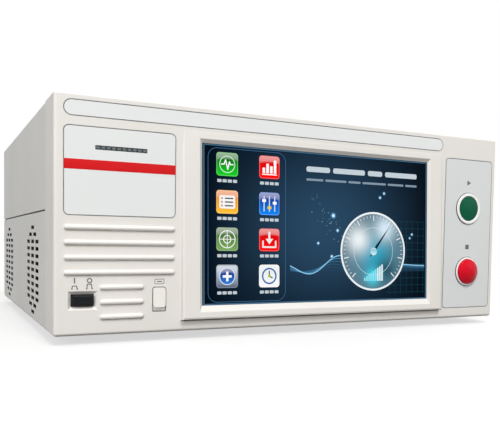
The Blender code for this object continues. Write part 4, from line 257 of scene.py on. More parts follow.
class Finish(Enum):
    """Every finish on the instrument. The first ones carry the record's slot names."""

    # Moulded ABS in warm white: a satin skin with the tool's fine spark texture.
    BEZEL = Coat("moulded_warm_white_abs", "#e9e6e1", "#e5e1db", 0.46, grain_size=0.9,
                 relief=0.012, drift=60.0)
    # Hard-coated polyester film: smoother and cooler than the moulding round it.
    OVERLAY = Coat("printed_polyester_film", "#e9ebea", "#e5e8e7", 0.34, grain_size=1.4,
                   relief=0.006, drift=50.0)
    # The same film printed in light grey.
    BUTTON_PANEL = Coat("grey_printed_film", "#dcdfdf", "#d7dbda", 0.34, grain_size=1.4,
                        relief=0.006, drift=50.0)
    # Smoked acrylic: nearly black and glossy, so the lamps behind it only just show.
    SMOKED_LENS = Coat("smoked_acrylic", "#22282a", "#1a2022", 0.14, grain_size=2.0,
                       relief=0.002, drift=9.0)
    # Fibreglass under green solder mask, with a faint weave.
    CIRCUIT_BOARD = Coat("solder_masked_board", "#1f5a38", "#174a2c", 0.4, grain_size=0.8,
                         relief=0.02, drift=6.0)
    # Bonded touch glass over the lit panel.
    SCREEN = LitCoat("lit_touch_display")
    # Tin-plated panel shell: dull grey metal.
    DISPLAY_METAL = Coat("tin_plated_steel", "#8f9294", "#808385", 0.38, 0.9,
                         grain=Grain.ALONG_X, grain_size=0.6, relief=0.006)
    # Zinc-plated sheet: light metal with cloudy grains.
    ZINC_STEEL = Coat("zinc_plated_sheet", "#c3c6c6", "#aeb2b3", 0.36, 0.9, drift=7.0,
                      grain_size=2.5, relief=0.006)
    # Glossy polycarbonate, dyed deep green.
    GREEN_BUTTON = Coat("green_polycarbonate", "#005c40", "#005339", 0.22, grain_size=2.2,
                        relief=0.004, spread=0.03, specular=0.1)
    # Glossy polycarbonate, dyed red.
    RED_BUTTON = Coat("red_polycarbonate", "#dd0f29", "#d00a22", 0.22, grain_size=2.2,
                      relief=0.004, spread=0.03, specular=0.1)
    # Nylon of the red terminals: satin.
    RED_PLASTIC = Coat("red_nylon", "#c4252b", "#b51d24", 0.38, grain_size=0.7, relief=0.01)
    # White polycarbonate of the button rings.
    WHITE_PLASTIC = Coat("white_polycarbonate", "#fbfbfa", "#f5f5f3", 0.26, grain_size=1.6,
                         relief=0.005, gloss=0.2)
    # Black moulded nylon: a light spark texture breaks its sheen.
    BLACK_PLASTIC = Coat("black_nylon", "#121416", "#1a1c1e", 0.4, grain_size=0.7,
                         relief=0.014, specular=0.14)
    # Bright nickel plate over steel.
    NICKEL = Coat("bright_nickel_plate", "#c9c7c0", "#b7b5ae", 0.24, 1.0, grain_size=1.2,
                  relief=0.003, drift=8.0)
    # Powder coat on steel: light grey with a fine pebbled relief, drawn a little coarse
    # so that it shows.
    GREY_PAINT = Coat("grey_powder_coat", "#dfdfdb", "#dbdad6", 0.5, grain_size=1.3,
                      relief=0.05, drift=90.0)
    # Black rubber: dull, with a dusty bloom.
    RUBBER = Coat("black_rubber", "#19191a", "#29292a", 0.8, grain_size=0.8, relief=0.03,
                  drift=5.0)
    # Turned brass.
    BRASS = Coat("turned_brass", "#d0ab62", "#bd9750", 0.26, 1.0, grain_size=0.5,
                 relief=0.004, drift=6.0)
    # Extruded aluminium, with lines along the extrusion.
    ALUMINIUM = Coat("extruded_aluminium", "#d3d5d6", "#c3c5c7", 0.36, 1.0,
                     grain=Grain.ALONG_Y, grain_size=0.5, relief=0.008)
    # Transformer laminations: bluish steel sheets, half a millimetre each.
    CORE_STEEL = Coat("laminated_core_steel", "#5b5e63", "#3c3e42", 0.45, 0.8,
                      grain=Grain.SHEETS, grain_size=0.5, relief=0.05)
    # Yellow polyester tape round the winding.
    WINDING_TAPE = Coat("polyester_winding_tape", "#cfae48", "#bd9a34", 0.35, grain_size=9.0,
                        relief=0.2, drift=12.0)
    # Black potting resin with a cast skin.
    POTTING_RESIN = Coat("cast_potting_resin", "#34343a", "#28282d", 0.3, grain_size=6.0,
                         relief=0.08, drift=14.0)
    # Soft white polypropylene of the port's cover: a shade lighter than the front.
    PORT_LID = Coat("soft_white_polypropylene", "#f5f3ec", "#f1eee6", 0.42, grain_size=0.9,
                    relief=0.01, drift=20.0)
    # Painted shade: the walls of the vent slots are coloured near black, standing for the shade
    # inside the slots.
    PUNCHED_EDGE = Coat("slot_wall_painted_shade", "#2e2f2f", "#252626", 0.55, grain_size=0.4,
                        relief=0.02, drift=4.0)
    # Screen-printed dark grey line.
    DARK_INK = Coat("dark_grey_ink", "#63676a", "#5a5e61", 0.4, grain_size=0.6, relief=0.004)
    # Screen-printed mid grey marks.
    GREY_INK = Coat("mid_grey_ink", "#6a6a69", "#626261", 0.4, grain_size=0.6, relief=0.004)
    # Screen-printed warning red.
    RED_INK = Coat("red_ink", "#d9171c", "#d11217", 0.36, grain_size=0.8, relief=0.004,
                   specular=0.2)
    # Milky lamp cells that show through the smoked lens.
    LAMP_CELL = Coat("milky_lamp_cell", "#6d7678", "#5d6668", 0.2, grain_size=0.8,
                     relief=0.004, drift=1.5)


def finish_of(node: str) -> Finish:
    """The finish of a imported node, by its record's slot."""
    return Finish[SLOT_OF[node].upper()]


# Places

@dataclass(frozen=True)
class Plane:
    """A flat face: its origin in mm, and the directions right, up and outwards."""

    origin: Place
    right: Place
    up: Place

    def place(self, points: Array) -> Array:
        """Turn (right, up, out) points in mm into metres: origin + x r + y u + z (r x u).

        Args:
            points: any number of local points.
        Returns:
            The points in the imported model's frame.
        """
        axes = np.array([self.right, self.up, np.cross(self.right, self.up)])
        return (np.array(self.origin) + points @ axes) * MM

    def at(self, x: float, y: float, out: float = 0.0) -> "Plane":
        """The same face with its origin moved by x, y and out."""
        moved = self.place(np.array([x, y, out])) / MM
        return Plane(tuple(moved), self.right, self.up)


def corners(node: str) -> tuple[Array, Array]:
    """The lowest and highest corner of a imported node, in mm."""
    low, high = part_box(node)
    return np.array(low) / MM, np.array(high) / MM


def middle(node: str) -> Array:
    """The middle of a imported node's box, in mm."""
    low, high = corners(node)
    return (low + high) / 2


FILM_PROUD = 0.1
BEZEL_LOW = corners("front_bezel")[0]
FRONT = Plane((BEZEL_LOW[0], corners("title_overlay")[0][1] + FILM_PROUD, BEZEL_LOW[2]),
              RIGHT, UP)
BUTTONS_ACROSS = 395.05


def front_at(node: str) -> Plane:
    """The front's face, centred on a node."""
    x, _, z = middle(node)
    return FRONT.at(x - FRONT.origin[0], z - FRONT.origin[2])


def rear_at(node: str) -> Plane:
    """The rear sheet's outer face, seen from behind, centred on a node."""
    x, _, z = middle(node)
    return Plane((x, corners("rear_panel")[1][1], z), LEFT, UP)


# Outlines

def rounded_rectangle(width: float, height: float, radius: float, steps: int = 6,
                      centre: Point = (0.0, 0.0)) -> Array:
    """An outline with four round corners, anticlockwise.

    Args:
        width: its size across.
        height: its size upwards.
        radius: the corners' radius.
        steps: the parts of each quarter turn.
        centre: its middle.
    Returns:
        Corner centre + radius (cos a, sin a), a over each quarter turn in order.
    """
    angles = (np.arange(4)[:, None] + np.linspace(0, 1, steps + 1)).ravel() * QUARTER
    signs = np.repeat([(1, 1), (-1, 1), (-1, -1), (1, -1)], steps + 1, axis=0)
    inner = signs * (width / 2 - radius, height / 2 - radius)
    outline = inner + radius * np.stack([np.cos(angles), np.sin(angles)], 1)
    apart = np.linalg.norm(outline - np.roll(outline, 1, 0), axis=1) > 1e-6
    return outline[apart] + centre


def area_outline(area: Area, radius: float, steps: int = 2) -> Array:
    """The outline of an area with four round corners.

    Args:
        area: its left, bottom, right and top.
        radius: the corners' radius, or any larger number for round ends.
        steps: the parts of each quarter turn.
    Returns:
        Its points, anticlockwise.
    """
    left, bottom, right, top = area
    radius = min(radius, (top - bottom) / 2)
    return rounded_rectangle(right - left, top - bottom, radius, steps,
                             ((left + right) / 2, (bottom + top) / 2))


def circle(radius: float, sides: int = 48, centre: Point = (0.0, 0.0)) -> Array:
    """A round outline: centre + radius (cos a, sin a)."""
    angles = np.arange(sides) * 2 * math.pi / sides
    return radius * np.stack([np.cos(angles), np.sin(angles)], 1) + centre


def inset(outline: Array, distance: float) -> Array:
    """Move an anticlockwise outline inwards by a distance.

    Args:
        outline: its points.
        distance: how far each side moves.
    Returns:
        Each point + distance (m + n) / (1 + m.n), m and n its two sides' inner normals.
    """
    side = np.roll(outline, -1, 0) - outline
    normal = np.stack([-side[:, 1], side[:, 0]], 1)
    normal /= np.linalg.norm(normal, axis=1, keepdims=True)
    before = np.roll(normal, 1, 0)
    share = 1 + (normal * before).sum(1, keepdims=True)
    return outline + distance * (normal + before) / share


def stepped(outline: Array, step: float) -> Array:
    """Cut the long sides of an outline into steps.

    Args:
        outline: its points.
        step: about the length of each step.
    Returns:
        The points s + (e - s) i / n of each side from s to e, n its length / step.
    """
    parts = []
    for start, end in zip(outline, np.roll(outline, -1, 0)):
        count = max(1, int(round(float(np.linalg.norm(end - start)) / step)))
        parts.append(start + (end - start) * (np.arange(count) / count)[:, None])
    return np.concatenate(parts)


def row(count: int, pitch: float) -> Array:
    """Places in a row about zero: (i - (count - 1) / 2) pitch."""
    return (np.arange(count) - (count - 1) / 2) * pitch


def at_height(outline: Array, height: float) -> Array:
    """The outline's points at one height."""
    return np.column_stack([outline, np.full(len(outline), height)])


def round_edge(radius: float, height: float, edge: float, points: int = 6,
               side: int = 1) -> list[Point]:
    """A turned profile's quarter-round edge, from its wall to its face.

    Args:
        radius: the wall's radius.
        height: the face's height.
        edge: the edge's own radius.
        points: how many points it has.
        side: 1 where the face lies inside the wall, and -1 where it lies outside.
    Returns:
        (radius - side edge (1 - cos a), height - edge (1 - sin a)), a from 0 to 90 degrees.
    """
    return [(radius - side * edge * (1 - math.cos(a)), height - edge * (1 - math.sin(a)))
            for a in np.linspace(0, QUARTER, points)]


def places_of(mesh: bpy.types.Mesh) -> Array:
    """Where a mesh's points lie, in metres."""
    places = np.empty((len(mesh.vertices), 3), np.float32)
    mesh.vertices.foreach_get("co", places.ravel())
    return places.astype(float)


@contextmanager
def edited(mesh: bpy.types.Mesh, source: bpy.types.Mesh | None = None
           ) -> Iterator[bmesh.types.BMesh]:
    """Open a mesh for editing, and write it at the end.

    Args:
        mesh: the mesh that is written.
        source: the mesh that is read, where it is another one.
    Returns:
        The open mesh, for the length of a with block.
    """
    work = bmesh.new()
    work.from_mesh(source or mesh)
    yield work
    work.to_mesh(mesh)
    work.free()


def shown(mesh: bpy.types.Mesh, finish: Finish, stands_for: Sequence[str] = (),
          body: str = "housing") -> bpy.types.Object:
    """Put a finished mesh on show, on its body.

    Args:
        mesh: the mesh, in metres and in place.
        finish: its finish.
        stands_for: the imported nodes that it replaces.
        body: the body that it rides on, where it replaces none.
    Returns:
        The new object.
    """
    item = bpy.data.objects.new(mesh.name, mesh)
    bpy.context.scene.collection.objects.link(item)
    mesh.materials.clear()
    mesh.materials.append(finish.value.material())
    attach(item, BODY_OF[stands_for[0]] if stands_for else body)
    if stands_for:
        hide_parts(*stands_for)
    log.info("%s: %d faces, %s", item.name, len(mesh.polygons), finish.value.title)
    return item


class Skin:
    """Closed surfaces on one plane that become one piece."""

    def __init__(self, plane: Plane) -> None:
        """Start an empty skin.

        Args:
            plane: the face that its points are measured from.
        """
        self.plane = plane
        self.points: list[Array] = []
        self.tints: list[Array] = []
        self.faces: list[list[int]] = []
        self.count = 0

    def loft(self, rings: Array, closed: bool = False, tint: Tint = None) -> "Skin":
        """Join rings of points by four-sided faces, with a cap at each end.

        Args:
            rings: P(i, j), with i from ring to ring and j round each ring.
            closed: joins the last ring to the first, without caps.
            tint: a colour, or a colour as a function of x and y.
        Returns:
            The skin.
        """
        rings = np.asarray(rings, float)
        index = self.count + np.arange(rings.shape[0] * rings.shape[1])
        index = index.reshape(rings.shape[:2])
        near = index if closed else index[:-1]
        far = np.roll(index, -1, 0) if closed else index[1:]
        quads = np.stack([near, np.roll(near, -1, 1), np.roll(far, -1, 1), far], -1)
        self.faces += quads.reshape(-1, 4).tolist()
        if not closed:
            self.faces += [index[0][::-1].tolist(), index[-1].tolist()]
        flat = rings.reshape(-1, 3)
        if callable(tint):
            colour = tint(flat[:, 0], flat[:, 1])
        else:
            colour = np.tile(linear(tint or "#808080")[:3], (len(flat), 1))
        self.points.append(flat)
        self.tints.append(colour)
        self.count += len(flat)
        return self

    def plate(self, outline: Array, low: float, high: float, edge: float = 0.0,
              fill: int = 0, tint: Tint = None) -> "Skin":
        """A plate with a quarter-round front edge.

        Args:
            outline: its outline, anticlockwise.
            low: the height of its back.
            high: the height of its front.
            edge: the radius of its front edge.
            fill: the rings that shrink to its middle, where its tint needs them.
            tint: its colour.
        Returns:
            The skin. Ring a is inset by edge (1 - cos a), at high - edge (1 - sin a).
        """
        angles = np.linspace(0, QUARTER, 5) if edge else np.zeros(1)
        rings = [at_height(outline, low)]
        rings += [at_height(inset(outline, edge * (1 - math.cos(a))),
                            high - edge * (1 - math.sin(a))) for a in angles]
        centre = rings[-1].mean(0)
        rings += [centre + (rings[len(angles)] - centre) * share
                  for share in np.linspace(1, 0, fill + 1)[1:]]
        return self.loft(np.array(rings), tint=tint)

    def border(self, outline: Array, width: float, low: float, high: float,
               tint: Tint = None) -> "Skin":
        """A flat strip of one width, just inside an outline.

        Args:
            outline: the strip's outer edge, anticlockwise.
            width: its width.
            low: the height of its back.
            high: the height of its front.
            tint: its colour.
        Returns:
            The skin.
        """
        inner = inset(outline, width)
        rings = [at_height(outline, low), at_height(outline, high), at_height(inner, high),
                 at_height(inner, low)]
        return self.loft(np.array(rings), closed=True, tint=tint)

    def blocks(self, size: Point, centres: Sequence[Point], low: float, high: float,
               corner: float, steps: int = 2, edge: float = 0.0, tint: Tint = None) -> "Skin":
        """The same round-cornered block at several places.

        Args:
            size: its width and height.
            centres: its places.
            low: the height of its back.
            high: the height of its front.
            corner: its corners' radius.
            steps: the parts of each quarter turn.
            edge: the radius of its front edge.
            tint: its colour.
        Returns:
            The skin.
        """
        for centre in centres:
            self.plate(rounded_rectangle(*size, corner, steps, centre), low, high, edge,
                       tint=tint)
        return self

    def ribbon(self, path: Array, width: float | Array, low: float, high: float,
               tint: Tint = None) -> "Skin":
        """A flat strip along a line.

        Args:
            path: the line's points.
            width: its width, or one for each point.
            low: the height of its back.
            high: the height of its front.
            tint: its colour.
        Returns:
            The skin, with points path +- width / 2 n at both heights, n across the line.
        """
        path = np.asarray(path, float)
        run = np.gradient(path, axis=0)
        run /= np.linalg.norm(run, axis=1, keepdims=True)
        reach = np.stack([-run[:, 1], run[:, 0]], 1) * (np.ones(len(path)) * width)[:, None] / 2
        sections = np.stack([at_height(path + reach, low), at_height(path + reach, high),
                             at_height(path - reach, high), at_height(path - reach, low)], 1)
        return self.loft(sections, tint=tint)

    def turned(self, profile: Sequence[Point], sides: int = 64,
               closed: bool = False, tint: Tint = None) -> "Skin":
        """A turned shape: (r cos a, r sin a, z) for each (r, z) of the profile.

        Args:
            profile: the pairs of radius and height.
            sides: the steps round.
            closed: joins the profile's ends, for a shape with a hole.
            tint: its colour.
        Returns:
            The skin.
        """
        rings = [at_height(circle(max(r, 0.0), sides), z) for r, z in profile]
        return self.loft(np.array(rings), closed=closed, tint=tint)

    def tube(self, path: Array, radius: float, across: Place,
             sides: int = 10, loop: bool = False) -> "Skin":
        """A round wire along a flat path.

        Args:
            path: its centre line.
            radius: the wire's radius.
            across: the direction that the path has no part in.
            sides: the steps round the wire.
            loop: joins its two ends.
        Returns:
            The skin: path + radius (cos a m + sin a n), n across and m square to both.
        """
        path = np.asarray(path, float)
        if loop:
            run = np.roll(path, -1, 0) - np.roll(path, 1, 0)
        else:
            run = np.gradient(path, axis=0)
        run /= np.linalg.norm(run, axis=1, keepdims=True)
        other = np.broadcast_to(np.array(across, float), run.shape)
        square = np.cross(run, other)
        ring = circle(radius, sides)
        sections = (path[:, None] + ring[None, :, 0, None] * square[:, None]
                    + ring[None, :, 1, None] * other[:, None])
        return self.loft(sections, closed=loop)

    def build(self, name: str, finish: Finish, stands_for: Sequence[str] = (),
              body: str = "housing", slot: str | None = None,
              sharp: float = 35.0) -> bpy.types.Object:
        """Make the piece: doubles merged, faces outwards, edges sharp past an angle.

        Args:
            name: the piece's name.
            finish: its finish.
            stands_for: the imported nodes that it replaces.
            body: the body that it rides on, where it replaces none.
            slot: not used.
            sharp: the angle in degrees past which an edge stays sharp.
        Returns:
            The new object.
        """
        mesh = bpy.data.meshes.new(name)
        mesh.from_pydata(self.plane.place(np.concatenate(self.points)).tolist(), [],
                         self.faces)
        tints = np.column_stack([np.concatenate(self.tints), np.ones(self.count)])
        layer = mesh.color_attributes.new("tint", "FLOAT_COLOR", "POINT")
        layer.data.foreach_set("color", tints.astype(np.float32).ravel())
        with edited(mesh) as work:
            bmesh.ops.remove_doubles(work, verts=work.verts, dist=SKIN_MERGE)
            bmesh.ops.recalc_face_normals(work, faces=work.faces)
        mesh.shade_smooth()
        mesh.set_sharp_from_angle(angle=math.radians(sharp))
        return shown(mesh, finish, stands_for, body)


def softened(node: str, radius: float, name: str | None = None, rim: float = 0.0,
             bent: bool = False, crisp: Sequence[Area] = ()) -> bpy.types.Object:
    """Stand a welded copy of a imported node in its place, with its edges rounded.

    Args:
        node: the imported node.
        radius: the edges' radius in mm.
        name: the piece's name.
        rim: the radius of its outermost edges, if they differ.
        bent: takes only the edges between its top and its sides as the outermost ones.
        crisp: areas of the front where even shallow edges are sharp lines.
    Returns:
        The new object, with a live bevel on every edge past EDGE_ANGLE.
    """
    mesh = bpy.data.meshes.new(name or node + "_dressed")
    with edited(mesh, frame["nodes"][node].data) as work:
        bmesh.ops.remove_doubles(work, verts=work.verts, dist=NODE_MERGE)
        bmesh.ops.dissolve_limit(work, angle_limit=math.radians(FLAT_ANGLE),
                                 verts=work.verts, edges=work.edges)
    for layer in ("custom_normal", "sharp_face", "sharp_edge"):
        if layer in mesh.attributes:
            mesh.attributes.remove(mesh.attributes[layer])
    mesh.shade_smooth()
    mesh.set_sharp_from_angle(angle=math.radians(EDGE_ANGLE))
    crease(mesh, crisp)
    item = shown(mesh, finish_of(node), (node,))
    bevel = item.modifiers.new("rounded_edges", "BEVEL")
    bevel.width = max(radius, rim) * MM
    bevel.segments = 3 if rim else 2
    bevel.miter_outer = "MITER_ARC" if rim else "MITER_SHARP"
    bevel.limit_method = "WEIGHT" if rim else "ANGLE"
    bevel.angle_limit = math.radians(EDGE_ANGLE)
    if rim:
        weigh_edges(mesh, radius / rim, bent)
    even = item.modifiers.new("even_shading", "WEIGHTED_NORMAL")
    even.keep_sharp = True
    return item


def crease(mesh: bpy.types.Mesh, areas: Sequence[Area]) -> None:
    """Mark the edges past CRISP_ANGLE inside areas of the front as sharp.

    Args:
        mesh: the mesh.
        areas: the left, bottom, right and top of each area, in mm on the front.
    """
    with edited(mesh) as work:
        for edge in work.edges:
            if len(edge.link_faces) != 2 or edge.calc_face_angle() < math.radians(CRISP_ANGLE):
                continue
            ends = (np.array([vert.co for vert in edge.verts]) / MM - FRONT.origin)[:, (0, 2)]
            if any((ends > area[:2]).all() and (ends < area[2:]).all() for area in areas):
                edge.smooth = False


def weigh_edges(mesh: bpy.types.Mesh, share: float, bent: bool) -> None:
    """Weigh a mesh's sharp edges for its bevel.

    Args:
        mesh: the mesh.
        share: the weight of a sharp edge. One whose two ends both lie on the outline of
            the mesh's box, seen from the front, weighs 1, and along its top CREST_WEIGHT.
        bent: weighs only the edges between the box's top and its sides as 1.
    """
    places = places_of(mesh)
    low, high = places.min(0) + OUTER_BAND * MM, places.max(0) - OUTER_BAND * MM
    with edited(mesh) as work:
        layer = work.edges.layers.float.new("bevel_weight_edge")
        for edge in work.edges:
            if len(edge.link_faces) != 2 or edge.smooth:
                continue
            ends = np.array([vert.co for vert in edge.verts])
            side = (ends[:, 0] < low[0]) | (ends[:, 0] > high[0])
            top, foot = ends[:, 2] > high[2], ends[:, 2] < low[2]
            outer = (side & top).all() if bent else (side | foot).all()
            edge[layer] = 1.0 if outer else share
            if top.all() and not bent:
                edge[layer] = CREST_WEIGHT


# Front

def front_area(node: str) -> Area:
    """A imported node's left, bottom, right and top on the front, in mm."""
    low, high = (corner - FRONT.origin for corner in corners(node))
    return low[0], low[2], high[0], high[2]


@dataclass
class FrontFace:
    """The moulded front, its raised bars, its films and what is printed on them."""

    edge: float = 0.4
    rim: float = 2.1
    crisp: tuple[Area, ...] = ((96.0, 8.5, 361.5, 158.0), (8.0, 17.0, 34.5, 36.0))
    crest_height: float = 2.6
    crest_share: float = 0.4
    bar_radius: float = 2.0
    bar_pitch: float = 11.13
    top_bar: float = 80.2
    long_bar: Point = (7.2, 91.8)
    short_bar: Point = (33.4, 67.2)
    long_bars: int = 4
    short_bars: int = 3
    # A near-black strip under the display surround's lower edge, painted shade where the
    # surround stands proud. Its area, and its back and front heights.
    joint: Area = (97.4, 7.95, 360.4, 9.05)
    joint_run: Point = (-0.2, 0.05)
    line: float = 0.42
    print_rise: float = 0.05
    film_corners: tuple[tuple[str, float], ...] = (
        ("title_overlay", math.inf), ("warning_overlay", 3.8), ("button_overlay", 3.5))
    band: Area = (7.2, 122.6, 91.9, 130.0)
    band_rise: float = 0.08
    lamp_cells: int = 10
    cell: Point = (2.7, 1.7)
    cell_margin: float = 2.0
    cell_rise: float = 0.03
    mark_run: Point = (-0.2, 0.06)
    on_mark: Point = (15.1, 41.05)
    on_size: Point = (0.95, 4.1)
    off_mark: Point = (26.0, 41.0)
    off_radius: float = 2.0
    off_line: float = 0.8
    brackets: tuple[Point, ...] = ((15.1, 2.1), (25.9, 3.3))
    bracket_foot: float = 35.0
    bracket_line: float = 0.68
    port_mark: Point = (79.6, 39.7)
    port_size: Point = (7.8, 4.1)
    port_line: float = 0.45
    tongue_size: Point = (4.2, 0.8)
    start_mark: float = 132.7
    arrow_half: float = 2.6
    stop_mark: float = 69.8
    stop_size: Point = (4.4, 4.4)

    def build(self) -> None:
        """Dress the front: moulding, bars, a dark strip of painted shade under the display
        surround, films, their outlines, lamp and marks.
        """
        front = softened("front_bezel", self.edge, "front_moulding", self.rim,
                         crisp=self.crisp)
        self.crest(front.data)
        self.bars()
        # Painted shade: a near-black strip under the display surround's lower edge.
        joint = Skin(FRONT).plate(area_outline(self.joint, 0.2), *self.joint_run, 0.02)
        joint.build("surround_painted_shade", Finish.RUBBER)
        self.film_lines()
        band = Skin(FRONT).plate(area_outline(self.band, 0.2), 0.0,
                                 FILM_PROUD + self.band_rise, 0.02)
        band.build("red_band", Finish.RED_INK, slot="overlay")
        self.lamp()
        self.power_marks()
        self.button_marks()

    def crest(self, mesh: bpy.types.Mesh) -> None:
        """Tighten the moulding's round top edge: t below the top becomes crest_share t.

        Args:
            mesh: the moulding's mesh, changed in place.
        """
        places = places_of(mesh)
        top = corners("front_bezel")[1][2]
        below = top - places[:, 2] / MM
        near = below < self.crest_height
        places[near, 2] = (top - self.crest_share * below[near]) * MM
        mesh.vertices.foreach_set("co", places.astype(np.float32).ravel())
        mesh.update()

    def bars(self) -> None:
        """Half-round bars: capsules whose axis lies in the face.

        A round end's section at angle a has the radius r sin a, r (1 - cos a) from its tip.
        """
        skin = Skin(FRONT)
        bow = np.linspace(0, QUARTER, 7)
        reach, radius = self.bar_radius * (1 - np.cos(bow)), self.bar_radius * np.sin(bow)
        ring = circle(1.0, 28)
        spans = [self.long_bar] * self.long_bars + [self.short_bar] * self.short_bars
        for i, (left, right) in enumerate(spans):
            rings = np.empty((2 * len(bow), len(ring), 3))
            rings[:, :, 0] = np.concatenate([left + reach, right - reach[::-1]])[:, None]
            rings[:, :, 1:] = np.concatenate([radius, radius[::-1]])[:, None, None] * ring
            rings[:, :, 1] += self.top_bar - i * self.bar_pitch
            skin.loft(rings)
        skin.build("raised_bars", Finish.BEZEL, sharp=60.0)

    def film_lines(self) -> None:
        """The thin printed line round each film."""
        skin = Skin(FRONT)
        for node, radius in self.film_corners:
            skin.border(area_outline(front_area(node), radius, 10), self.line, 0.0,
                        FILM_PROUD + self.print_rise)
        skin.build("film_outlines", Finish.DARK_INK, slot="overlay")

    def lamp(self) -> None:
        """The smoked lamp window and the row of milky cells in it."""
        softened("lamp_window", 0.15, "lamp_lens")
        left, _, right, _ = front_area("lamp_window")
        pitch = (right - left - 2 * self.cell_margin) / self.lamp_cells
        places = [(x, 0.0) for x in row(self.lamp_cells, pitch)]
        skin = Skin(front_at("lamp_window"))
        skin.blocks(self.cell, places, 0.0, FILM_PROUD + self.cell_rise, 0.4, 3, 0.02)
        skin.build("lamp_cells", Finish.LAMP_CELL, slot="smoked_lens")

    def power_marks(self) -> None:
        """The on and off marks over the power button, and the port's mark."""
        low, high = self.mark_run
        skin = Skin(FRONT)
        skin.blocks(self.on_size, [self.on_mark], low, high, 0.3, 3)
        skin.border(circle(self.off_radius, 40, self.off_mark), self.off_line, low, high)
        for centre, rise in self.brackets:
            for start, end in (((-2.5, 0.0), (-1.4, 0.0)), ((1.4, 0.0), (2.5, 0.0)),
                               ((-1.9, 0.0), (-1.5, rise)), ((1.9, 0.0), (1.5, rise)),
                               ((-1.8, rise), (1.8, rise))):
                run = np.array([start, end]) + (centre, self.bracket_foot)
                skin.ribbon(run, self.bracket_line, low, high)
        skin.border(rounded_rectangle(*self.port_size, 0.9, 4, self.port_mark),
                    self.port_line, low, high)
        skin.blocks(self.tongue_size, [self.port_mark], low, high, 0.2, 3)
        skin.build("front_marks", Finish.GREY_INK, slot="overlay")

    def button_marks(self) -> None:
        """A triangle over the start button and a square over the stop button."""
        skin = Skin(FRONT)
        low, high = 0.0, FILM_PROUD + self.print_rise
        half = self.arrow_half
        arrow = np.array([(-0.8 * half, -half), (half, 0.0), (-0.8 * half, half)])
        skin.plate(arrow + (BUTTONS_ACROSS, self.start_mark), low, high)
        skin.blocks(self.stop_size, [(BUTTONS_ACROSS, self.stop_mark)], low, high, 0.3, 3)
        skin.build("button_marks", Finish.DARK_INK, slot="button_panel")


@dataclass
class PushButton:
    """A round push button: a domed cap in a ring, with a thin black ring round the outside."""

    name: str
    finish: Finish
    height: float
    ring: float
    proud: float
    dome: float
    cap: float = 11.9
    skirt: float = 10.0
    round_off: float = 0.8
    shoulder_from: float = 0.15
    shoulder_power: float = 1.4
    gap: float = 0.3
    wall: float = 1.3
    barrel: float = 16.0
    seat: float = 0.4
    ring_rise: float = 0.9
    ring_edge: float = 0.4
    ring_back: float = -0.3
    gasket: tuple[Point, ...] = ((-0.6, -0.3), (0.5, -0.3), (0.5, 0.15), (0.3, 0.35),
                                 (-0.6, 0.35))
    sides: int = 96

    def build(self) -> None:
        """Turn the cap, the thin black outer ring and the white ring.

        The cap is part of a ball, dome high over its radius. Its shoulder is
        (cap - round_off (1 - sin a), rim + (top - rim) cos a ** shoulder_power).
        """
        plane = FRONT.at(BUTTONS_ACROSS, self.height, self.seat)
        rim = self.proud - self.dome
        bow = (self.cap ** 2 + self.dome ** 2) / (2 * self.dome)
        top = [(r, self.proud - bow + math.sqrt(bow ** 2 - r ** 2))
               for r in np.linspace(0, self.cap - self.round_off, 14)]
        shoulder = [(self.cap - self.round_off * (1 - math.sin(a)),
                     rim + (top[-1][1] - rim) * math.cos(a) ** self.shoulder_power)
                    for a in np.linspace(self.shoulder_from, QUARTER, 8)]
        cap = Skin(plane).turned([*top, *shoulder, (self.cap, -self.skirt),
                                  (0.0, -self.skirt)], self.sides)
        cap.build(self.name + "_cap", self.finish, (self.name + "_button",), sharp=50.0)
        around = [(self.ring + out, rise) for out, rise in self.gasket]
        gasket = Skin(plane).turned(around, self.sides, closed=True)
        gasket.build(self.name + "_gasket", Finish.RUBBER)
        bore, outside = self.cap + self.gap, self.cap + self.gap + self.wall
        ring = Skin(plane).turned([
            (outside, -self.barrel), (outside, self.ring_back), (self.ring, self.ring_back),
            *round_edge(self.ring, self.ring_rise, self.ring_edge),
            *round_edge(bore, self.ring_rise, self.ring_edge, side=-1)[::-1],
            (bore, -self.barrel)], self.sides, closed=True)
        ring.build(self.name + "_bezel_ring", Finish.WHITE_PLASTIC, (self.name + "_ring",),
                   sharp=50.0)


@dataclass
class PowerSwitch:
    """The black power button, whose lower edge bows out, and its switch."""

    bow: float = 0.9
    bow_power: int = 5
    edge: float = 1.5
    corner: float = 1.3
    foot_points: int = 25
    rings: int = 10

    def build(self) -> None:
        """Loft the button from its outline, and soften the switch.

        The outline's lower points rise by bow |2 x / w| ** bow_power |2 y / h|, where w and
        h are its width and height.
        """
        low, high = corners("power_button")
        width, height = high[0] - low[0], high[2] - low[2]
        outline = rounded_rectangle(width, height, self.corner, 8)
        upper = outline[outline[:, 1] > -height / 2 + 1e-6]
        along = np.linspace(-1, 1, self.foot_points)[1:-1] * (width / 2 - self.corner)
        bottom = np.column_stack([along, np.full(len(along), -height / 2)])
        outline = np.concatenate([upper, bottom])
        turn = np.arctan2(outline[:, 1] / height, outline[:, 0] / width)
        outline = outline[np.argsort(turn)]
        below = outline[:, 1] < 0
        rise = self.bow * np.abs(2 * outline[:, 0] / width) ** self.bow_power
        outline[below, 1] += rise[below] * np.abs(2 * outline[below, 1] / height)
        front, back = FRONT.origin[1] - low[1], FRONT.origin[1] - high[1]
        skin = Skin(front_at("power_button")).plate(outline, back, front, self.edge,
                                                    self.rings)
        skin.build("power_push_button", Finish.BLACK_PLASTIC, ("power_button",), sharp=60.0)
        softened("power_switch", 0.3)


